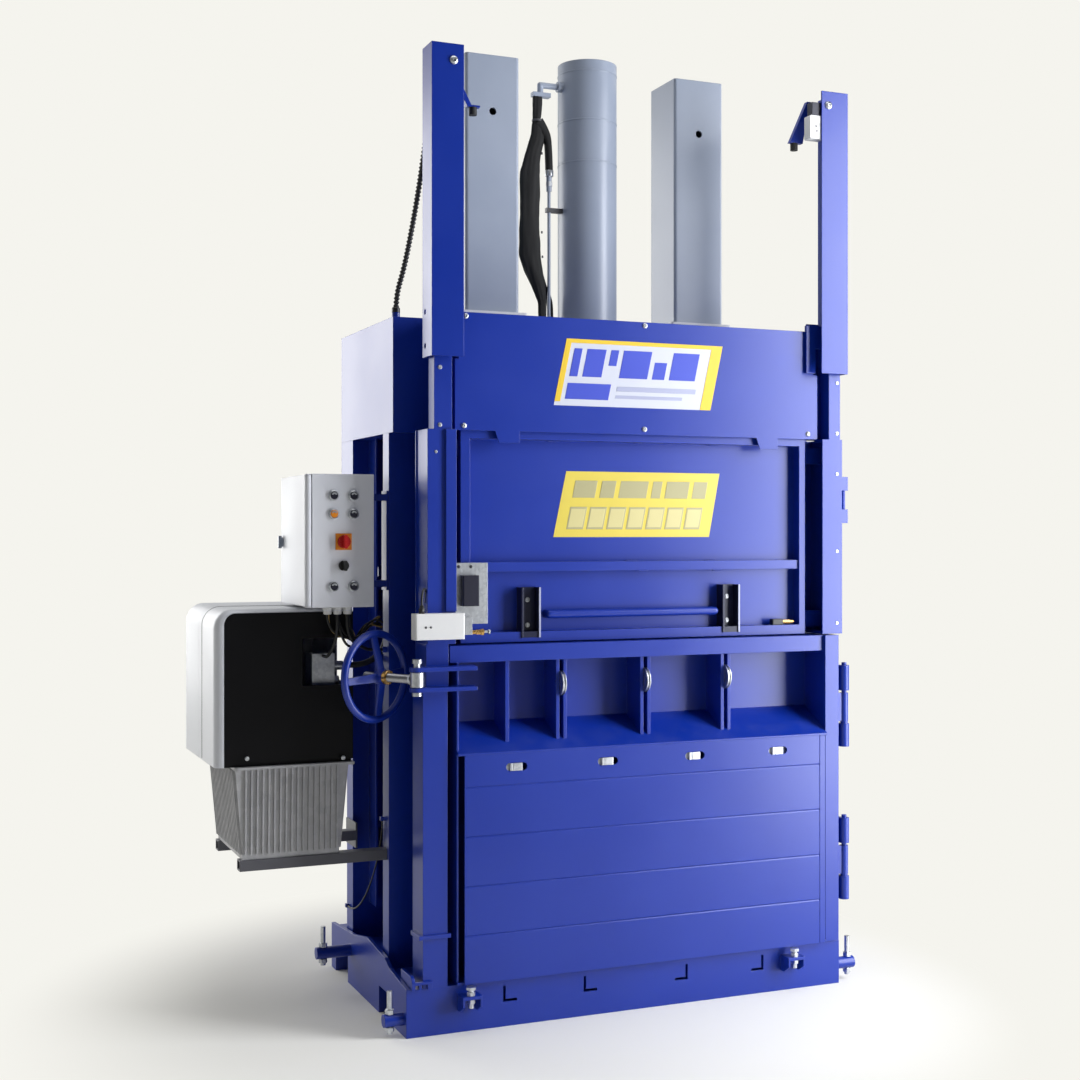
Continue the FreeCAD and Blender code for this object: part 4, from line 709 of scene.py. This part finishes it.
labelSettings = {
    "film": 0.0004, "layer": 0.00022,
    "upper": {"plane": 20, "corners": [(468, 1836), (511, 2038), (1045, 2038), (1001, 1836)]},
    "lower": {"plane": 72, "corners": [(489, 1440), (532, 1641), (1063, 1641), (1025, 1440)]},
    "bars": ((0.07, 0.21), (0.24, 0.33), (0.36, 0.54), (0.57, 0.63), (0.66, 0.81), (0.84, 0.93)),
    "squares": 7, "firstSquare": 0.07, "squareStep": 0.125,
}


def makeLabel(name, body, place, fields, materials):  # fields: material, shares across and up of the corners
    low, top, topEnd, lowEnd = [Vector(corner) for corner in place["corners"]]
    film, layer = labelSettings["film"], labelSettings["layer"]
    bm = bmesh.new()
    for step, (material, shape) in enumerate(fields):
        lift = film + layer * (1 + step % 3) if step else film
        corners = []
        for across, share in shape:
            point = low.lerp(top, share).lerp(lowEnd.lerp(topEnd, share), across)
            corners.append(at(point.x, place["plane"], point.y) + Vector((0, -lift, 0)))
        addPrism(bm, corners, lift, material)
    bmeshPiece(name, bm, body, materials)


def bar(x0, x1, y0, y1):
    return [(x0, y0), (x0, y1), (x1, y1), (x1, y0)]


upperFields = [(0, bar(0, 1, 0, 1)), (1, bar(0.0, 1.0, 0.94, 1.0)), (1, bar(0.93, 1.0, 0.0, 0.94)),
               (1, bar(0.0, 0.035, 0.06, 0.94)), (2, bar(0.06, 0.33, 0.10, 0.34)), (2, bar(0.06, 0.11, 0.44, 0.86)),
               (2, bar(0.14, 0.26, 0.44, 0.86)), (2, bar(0.29, 0.34, 0.62, 0.86)), (2, bar(0.37, 0.55, 0.44, 0.86)),
               (2, bar(0.58, 0.66, 0.44, 0.70)), (2, bar(0.69, 0.86, 0.44, 0.86)), (3, bar(0.37, 0.88, 0.24, 0.31)),
               (3, bar(0.37, 0.80, 0.13, 0.18))]
lowerFields = [(0, bar(0, 1, 0, 1))] + [(1, bar(start, end, 0.60, 0.86)) for start, end in labelSettings["bars"]]
for k in range(labelSettings["squares"]):
    start = labelSettings["firstSquare"] + labelSettings["squareStep"] * k
    lowerFields += [(1, bar(start, start + 0.105, 0.12, 0.46)), (2, bar(start + 0.008, start + 0.097, 0.15, 0.43)),
                    (1, bar(start + 0.03, start + 0.075, 0.22, 0.36))]
makeLabel("coverLabel", "frame", labelSettings["upper"], upperFields,
          ["film_white", "film_yellow", "film_blue", "film_grey"])
makeLabel("flapLabel", "loading_flap", labelSettings["lower"], lowerFields, ["film_gold", "film_shade", "film_pale"])
print("stage: labels")


# faces of CAD pieces in another finish

def colourFaces(node, finish, test=lambda c, n: True):  # the test gets a face's centre in millimetres and its normal
    mesh = nodes[node].data
    mesh.materials.append(finishes[finish])
    index = len(mesh.materials) - 1
    for face in mesh.polygons:
        middle = Vector((face.center.x * 1000 + originX, face.center.y * 1000 + originY, face.center.z * 1000))
        if test(middle, face.normal):
            face.material_index = index


def onUpright(c, lowX, highX, deepest):  # on one of the flap's two uprights, between these offsets
    return 1139 < c.z < 1291 and c.y < deepest and any(lowX < c.x - place < highX for place in uprightPlaces)


def onLockPin(c, n):  # the round pin of the lock bars, without their flat sides
    return math.hypot(c.x - 19, c.y + 40) < 15 and (abs(n.z) < 0.9 or abs(c.z - 1034) > 40)


colourFaces("flap_switch", "zinc", lambda c, n: c.y > 19.5)  # mounting plate
colourFaces("lock_bars", "zinc", onLockPin)
colourFaces("panel_bezels", "tank_orange", lambda c, n: abs(c.z - 1427) < 25 and abs(c.x + 144) < 25)  # main switch
colourFaces("limit_switch", "dark_plastic", lambda c, n: c.z > 2786)  # cap
colourFaces("steel_line", "grey_paint", lambda c, n: not 2504 < c.z < 2521)
colourFaces("steel_line", "dark_tie", lambda c, n: 2504 < c.z < 2521)  # clamp
colourFaces("interlock_switch", "zinc", lambda c, n: c.x > 165.5)  # key
colourFaces("pump_unit", "zinc", lambda c, n: c.x > -203 and c.z > 785)  # valve block
colourFaces("cabinet_latch", "grey_paint")
colourFaces("loading_flap", "inner_shade", lambda c, n: onUpright(c, -1, 63, 66))
colourFaces("loading_flap", "film_grey", lambda c, n: onUpright(c, 55, 63, 35) and n.y < -0.9)
for number in (1, 2, 4, 5, 6):
    colourFaces("push_button_%d" % number, "dark_plastic")


# swing bolt with its thread

boltSettings = {
    "pin": (19, -40, 1034), "turn": 29.0, "start": 16, "end": 204,
    "ribs": {"Radius": 0.0125, "Pitch": 0.0042, "Depth": 0.055, "Step": 0.00105, "Sides": 20},
    "eye": [(0.0102, -0.0222), (0.0178, -0.0226), (0.0200, -0.0205), (0.0200, 0.0205), (0.0178, 0.0226),
            (0.0102, 0.0222), (0.0102, -0.0222)],
    "collar": [(0.0150, 0.0165), (0.0162, 0.0180), (0.0162, 0.0235), (0.0140, 0.0255), (0.0126, 0.0255)],
    "tip": [(0.0125, 0.2025), (0.0120, 0.2045), (0, 0.2050)],
}


def makeSpindle(settings):
    turn = math.radians(settings["turn"])
    way = Vector((-math.sin(turn), math.cos(turn), 0))
    pin = at(*settings["pin"])
    line = [pin + way * (settings[key] / 1000) for key in ("start", "end")]
    thread = ribbed("swingBoltThread", "swing_bolt", "steel", [line], settings["ribs"])
    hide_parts("swing_bolt")
    eye = roundPiece("swingBoltEye", "swing_bolt", "zinc", "zinc", [
        (settings["pin"], up, 32, settings["eye"]), (settings["pin"], way, 24, settings["collar"]),
        (settings["pin"], way, 20, settings["tip"])])
    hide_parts("swing_bolt")


makeSpindle(boltSettings)


# round fittings: body, slot and finish of each piece, then its rounds

glandPlaces = (-180, -150, -120)
fittings = {
    "armFitting": ("frame", "zinc", "zinc", [
        ((632, 440, 2576), up, 6, [
            (0, 0), (0.0075, 0), (0.0085, 0.004), (0.0085, 0.014), (0.011, 0.016), (0.011, 0.03), (0.0082, 0.032),
            (0.0082, 0.044), (0.0105, 0.046), (0.0105, 0.060), (0.0085, 0.062), (0, 0.062)]),
        ((632, 440, 2576), up, 20, [(0.0125, 0.048), (0.014, 0.050), (0.014, 0.066), (0.0125, 0.069)])]),
    "conduitEnds": ("frame", "black_plastic", "black_plastic", [
        ((90, 85, 2662), up, 6, [(0.011, 0), (0.0115, 0.002), (0.0115, 0.013), (0.0095, 0.016)]),
        ((90, 85, 2662), up, 18, [(0.0125, 0.014), (0.0125, 0.024), (0.0110, 0.026)]),
        ((36, 215, 2115), up, 18, [(0.0125, 0), (0.0125, 0.012), (0.0100, 0.016)])]),
    "interlockStem": ("frame", "brass", "brass", [((187, -14, 1164), right, 6, [
        (0, 0), (0.0065, 0), (0.0065, 0.020), (0.0078, 0.021), (0.0078, 0.034), (0.0100, 0.0345), (0.0100, 0.044),
        (0, 0.044)])]),
    "interlockScrew": ("frame", "zinc", "zinc", [((231, -14, 1164), right, 12, [
        (0, 0), (0.0045, 0), (0.0045, 0.014), (0.0075, 0.0145), (0.0075, 0.0195), (0, 0.0205)])]),
    "flapStop": ("loading_flap", "brass", "brass", [((1277, 48, 1167), right, 6, [
        (0, 0), (0.0075, 0), (0.0075, 0.030), (0.0055, 0.032), (0.0055, 0.042), (0, 0.042)])]),
    "cabinetGlands": ("frame", "light_grey_paint", "white_plastic", [
        ((x, 195, z), up, sides, profile) for x in glandPlaces for z, sides, profile in (
            (1226, 6, [(0.0120, 0.0), (0.0148, 0.0006), (0.0148, 0.0072), (0.0120, 0.0080)]),
            (1216, 20, [(0.0030, -0.0035), (0.0100, -0.0030), (0.0126, 0.0), (0.0126, 0.0060), (0.0120, 0.0070)]))]),
}
for name, fitting in fittings.items():
    roundPiece(name, *fitting)


# small plates, the interlock's lead, weld beads

plates = {  # body, slot, finish, outlines on the front, depth, broken edge
    "uprightShade": ("loading_flap", "blue_paint", "inner_shade", [
        [(x + 7, 63.9, 1142), (x + 55, 63.9, 1142), (x + 55, 63.9, 1288), (x + 7, 63.9, 1288)]
        for x in uprightPlaces], -0.0012, 0.0004),
    "flapStopBlock": ("loading_flap", "black_plastic", "black_plastic", [
        [(1238, 38, 1158.2), (1278, 38, 1158.2), (1278, 38, 1177), (1238, 38, 1177)]], 0.022, 0.002),
    "coverCorner": ("frame", "blue_paint", "blue_paint", [
        [(1343, 20, 2081), (1375, 20, 2079), (1396, 20, 2092), (1396, 20, 2124), (1350, 20, 2124)]], -0.0035, 0.0007),
}
leadSettings = {
    "gland": ((40, -20, 1221), up, 6, [
        (0.0085, 0), (0.0095, 0.002), (0.0095, 0.014), (0.0070, 0.016), (0.0062, 0.024), (0, 0.024)]),
    "route": [(-0.691, -0.429, 1.244), (-0.691, -0.429, 1.268), (-0.684, -0.421, 1.290), (-0.672, -0.406, 1.292),
              (-0.665, -0.392, 1.275), (-0.666, -0.388, 1.250)],
    "radius": 0.0032,
}
weldSettings = {
    "places": [(750, 70, 1367), (1030, 70, 1367), (778, 43, 1337), (1038, 43, 1337), (489, 70, 1731), (778, 70, 1731),
               (1038, 70, 1731)],
    "length": 34,
    "ribs": {"Radius": 0.0026, "Pitch": 0.0032, "Depth": 0.16, "Step": 0.0008, "Sides": 8, "Uneven": 0.5},
}


def makeLead(settings):
    bm = bmesh.new()
    addRounds(bm, [settings["gland"]])
    addTube(bm, splinePoints(settings["route"]), roundSize(settings["radius"]), 10)
    bmeshPiece("interlockLead", bm, "frame", ["black_plastic"], 50)


def makeWelds(settings):
    half = settings["length"] / 2
    lines = [[at(x + dx, y, z) for dx in (-half, 0, half)] for x, y, z in settings["places"]]
    ribbed("flapWelds", "loading_flap", "blue_paint", lines, settings["ribs"], 80.0)


for name, (body, slot, finish, outlines, depth, bevel) in plates.items():
    bm = bmesh.new()
    for outline in outlines:
        addPrism(bm, [at(*corner) for corner in outline], depth, 0, bevel)
    bmeshPiece(name, bm, body, [finish])
makeLead(leadSettings)
makeWelds(weldSettings)
print("stage: fittings")


# hood seam, wires below the cabinet, button shields

hoodSettings = {"left": -500, "bottom": 775, "top": 1230, "round": 55, "seam": 450, "line": 0.0011, "rise": 8,
                "arcSteps": 12, "run": 12, "runSteps": 29}
wireSettings = {"starts": (-182, -176, -152, -146, -121, -116), "tan": (1, 4), "seed": 21, "radius": 0.0034}
shieldSettings = {
    "columns": (-173.6, -114.4), "rows": (1562, 1508.5, 1297), "back": 150,
    "profile": [(0.0113, -0.001), (0.0113, -0.0075), (0.0128, -0.0085), (0.0150, -0.0070), (0.0158, 0.0)],
    # crescent: a painted highlight, a bright zinc arc over the top of each cap
    "crescent": {"plane": 139.6, "thick": 0.0012, "inner": 4.2, "outer": 9.2, "first": 20, "step": 17.5, "count": 8},
}


def makeHoodSeam(settings):
    left, top, curve, seam = settings["left"], settings["top"], settings["round"], settings["seam"]
    levels = range(settings["bottom"], top - curve, settings["rise"])
    path = [at(left, seam, level) for level in levels]
    for k in range(settings["arcSteps"] + 1):
        angle = math.radians(90 / settings["arcSteps"] * k)
        path.append(at(left + curve - curve * math.cos(angle), seam, top - curve + curve * math.sin(angle)))
    path += [at(left + curve + k * settings["run"], seam, top) for k in range(1, settings["runSteps"] + 1)]
    bm = bmesh.new()
    addTube(bm, path, roundSize(settings["line"]), 8)
    bmeshPiece("hoodSeam", bm, "frame", ["dark_tie"], 60)


def makeWires(settings):
    chance = random.Random(settings["seed"])
    bm = bmesh.new()
    for k, x in enumerate(settings["starts"]):
        sag = chance.uniform(30, 75)
        points = [at(x, 195 + 3 * (k % 2), 1217), at(x + chance.uniform(-4, 4), 196, 1190),
                  at(x + 22 + chance.uniform(-8, 12), 206 + 4 * k, 1190 - sag),
                  at(-78 + chance.uniform(-14, 14), 226 + 6 * k, 1150 - sag * 0.5),
                  at(-40 + chance.uniform(-8, 8), 240 + 6 * k, 1172 + chance.uniform(-14, 20)),
                  at(-6, 252 + 6 * k, 1180 + chance.uniform(-20, 22)),
                  at(6, 254 + 6 * k, 1180 + chance.uniform(-20, 22))]
        radius = settings["radius"] * chance.uniform(0.8, 1.15)
        addTube(bm, splinePoints(points), roundSize(radius), 8, 1 if k in settings["tan"] else 0)
    bmeshPiece("cabinetWires", bm, "frame", ["hose_rubber", "wire_tan"], 60)


def makeButtonShields(settings):
    crescent = settings["crescent"]
    inner, outer = crescent["inner"], crescent["outer"]
    bm = bmesh.new()
    for z in settings["rows"]:
        for x in settings["columns"]:
            addRounds(bm, [((x, settings["back"], z), back, 28, settings["profile"])])
            for k in range(crescent["count"]):  # a painted highlight: a bright zinc crescent over the cap's upper arc
                turn, after = [math.radians(crescent["first"] + crescent["step"] * n) for n in (k, k + 1)]
                corners = [at(x + r * math.cos(a), crescent["plane"], z + r * math.sin(a))
                           for r, a in ((inner, turn), (outer, turn), (outer, after), (inner, after))]
                addPrism(bm, corners, crescent["thick"])
    bmeshPiece("buttonShields", bm, "frame", ["zinc"], 40)


makeHoodSeam(hoodSettings)
makeWires(wireSettings)
makeButtonShields(shieldSettings)
print("stage: cabinet and hood details")


# floor, light, camera

studio = {
    "backdrop": (0.913, 0.905, 0.855), "worldColour": (0.55, 0.55, 0.54), "roomColour": (0.035, 0.04, 0.055),
    "floorColour": (0.86, 0.85, 0.80), "floorHalf": 40, "floorMirror": 0.25, "floorFade": (0.85, 1.6),
    "floorCentre": (-0.3, -0.1, 0.0), "overhead": 0.16, "backMirror": 0.42, "behind": (-0.55, 0.25),
    "above": (0.35, 0.9),
}
lamps = {
    "rightSoftbox": dict(place=(2.35, -2.05, 1.75), target=(0.5, 0.0, 1.45), size=(1.5, 3.5), power=205,
                         colour=(0.93, 0.95, 1.0)),
    "leftSoftbox": dict(place=(-3.4, 5.4, 2.4), target=(-0.7, 0.0, 1.4), size=(3.6, 4.0), power=190),
    "topSoftbox": dict(place=(-0.2, -0.8, 5.6), target=(0.0, 0.0, 1.0), size=(3.4, 3.4), power=60),
}
cameraSettings = {"lens": 51.97, "sensor": 36.0, "shift": -0.006, "farthest": 200.0, "place": (-2.100, -4.686, 1.451),
                  "turn": (90, 0, -22.65)}


def makeFloor(settings):
    half = settings["floorHalf"]
    mesh = bpy.data.meshes.new("floor")
    mesh.from_pydata([(-half, -half, 0), (half, -half, 0), (half, half, 0), (-half, half, 0)], [], [(0, 1, 2, 3)])
    floor = linkItem("floor", mesh)
    material = bpy.data.materials.new("studioFloor")
    material.use_nodes = True
    tree = material.node_tree
    tree.nodes.remove(tree.nodes["Principled BSDF"])
    ends = {0: objectCoords(tree), 1: settings["floorCentre"]}
    length = addNode(tree, "ShaderNodeVectorMath", ends, operation="DISTANCE")
    fade = rangeNode(tree, length.outputs["Value"], *settings["floorFade"])
    path = addNode(tree, "ShaderNodeLightPath").outputs
    dim = mathNode(tree, "MULTIPLY", path["Is Glossy Ray"], settings["floorMirror"])
    seen = mathNode(tree, "MAXIMUM", path["Is Camera Ray"], dim)
    matt = addNode(tree, "ShaderNodeBsdfDiffuse", {"Color": settings["floorColour"] + (1,)})
    glow = addNode(tree, "ShaderNodeEmission", {"Color": settings["backdrop"] + (1,), "Strength": 1.0})
    blend = {0: mathNode(tree, "MULTIPLY", fade, seen), 1: matt.outputs[0], 2: glow.outputs[0]}
    mix = addNode(tree, "ShaderNodeMixShader", blend)
    setInputs(tree, tree.nodes["Material Output"], {"Surface": mix.outputs[0]})
    mesh.materials.append(material)


def makeWorld(settings):  # pale backdrop behind and above, a darker room behind the camera
    world = bpy.data.worlds.new("studio")
    bpy.context.scene.world = world
    world.use_nodes = True
    tree = world.node_tree
    ray = addNode(tree, "ShaderNodeTexCoord").outputs["Generated"]
    parts = addNode(tree, "ShaderNodeSeparateXYZ", {0: ray}).outputs
    behind = rangeNode(tree, parts["Y"], *settings["behind"])
    above = rangeNode(tree, parts["Z"], *settings["above"])
    pale = mathNode(tree, "MAXIMUM", behind, mathNode(tree, "MULTIPLY", above, settings["overhead"]))
    room = tree.nodes["Background"]
    level = mixColours(tree, pale, settings["roomColour"], settings["worldColour"])
    setInputs(tree, room, {"Color": level, "Strength": 1.0})
    shown = addNode(tree, "ShaderNodeBackground", {"Color": settings["backdrop"] + (1,), "Strength": 1.0})
    path = addNode(tree, "ShaderNodeLightPath").outputs
    reflected = mathNode(tree, "MULTIPLY", path["Is Glossy Ray"], settings["backMirror"])
    seen = mathNode(tree, "MAXIMUM", path["Is Camera Ray"], mathNode(tree, "MULTIPLY", reflected, behind))
    mix = addNode(tree, "ShaderNodeMixShader", {0: seen, 1: room.outputs[0], 2: shown.outputs[0]})
    setInputs(tree, tree.nodes["World Output"], {"Surface": mix.outputs[0]})


def addLamp(name, place, target, size, power, colour=(1, 1, 1)):
    lamp = bpy.data.lights.new(name, "AREA")
    lamp.shape = "RECTANGLE"
    lamp.size, lamp.size_y = size
    lamp.energy = power
    lamp.color = colour
    item = linkItem(name, lamp)
    item.location = place
    item.rotation_euler = (Vector(target) - Vector(place)).to_track_quat("-Z", "Y").to_euler()
    item.visible_camera = False


def makeCamera(settings):
    camera = bpy.data.cameras.new("camera")
    camera.lens = settings["lens"]
    camera.sensor_width = settings["sensor"]
    camera.shift_y = settings["shift"]
    camera.clip_end = settings["farthest"]
    item = linkItem("camera", camera)
    item.location = settings["place"]
    item.rotation_euler = [math.radians(angle) for angle in settings["turn"]]
    bpy.context.scene.camera = item


makeFloor(studio)
makeWorld(studio)
for name, lamp in lamps.items():
    addLamp(name, **lamp)
makeCamera(cameraSettings)
bpy.context.scene.view_settings.view_transform = "Standard"
print("stage: studio")
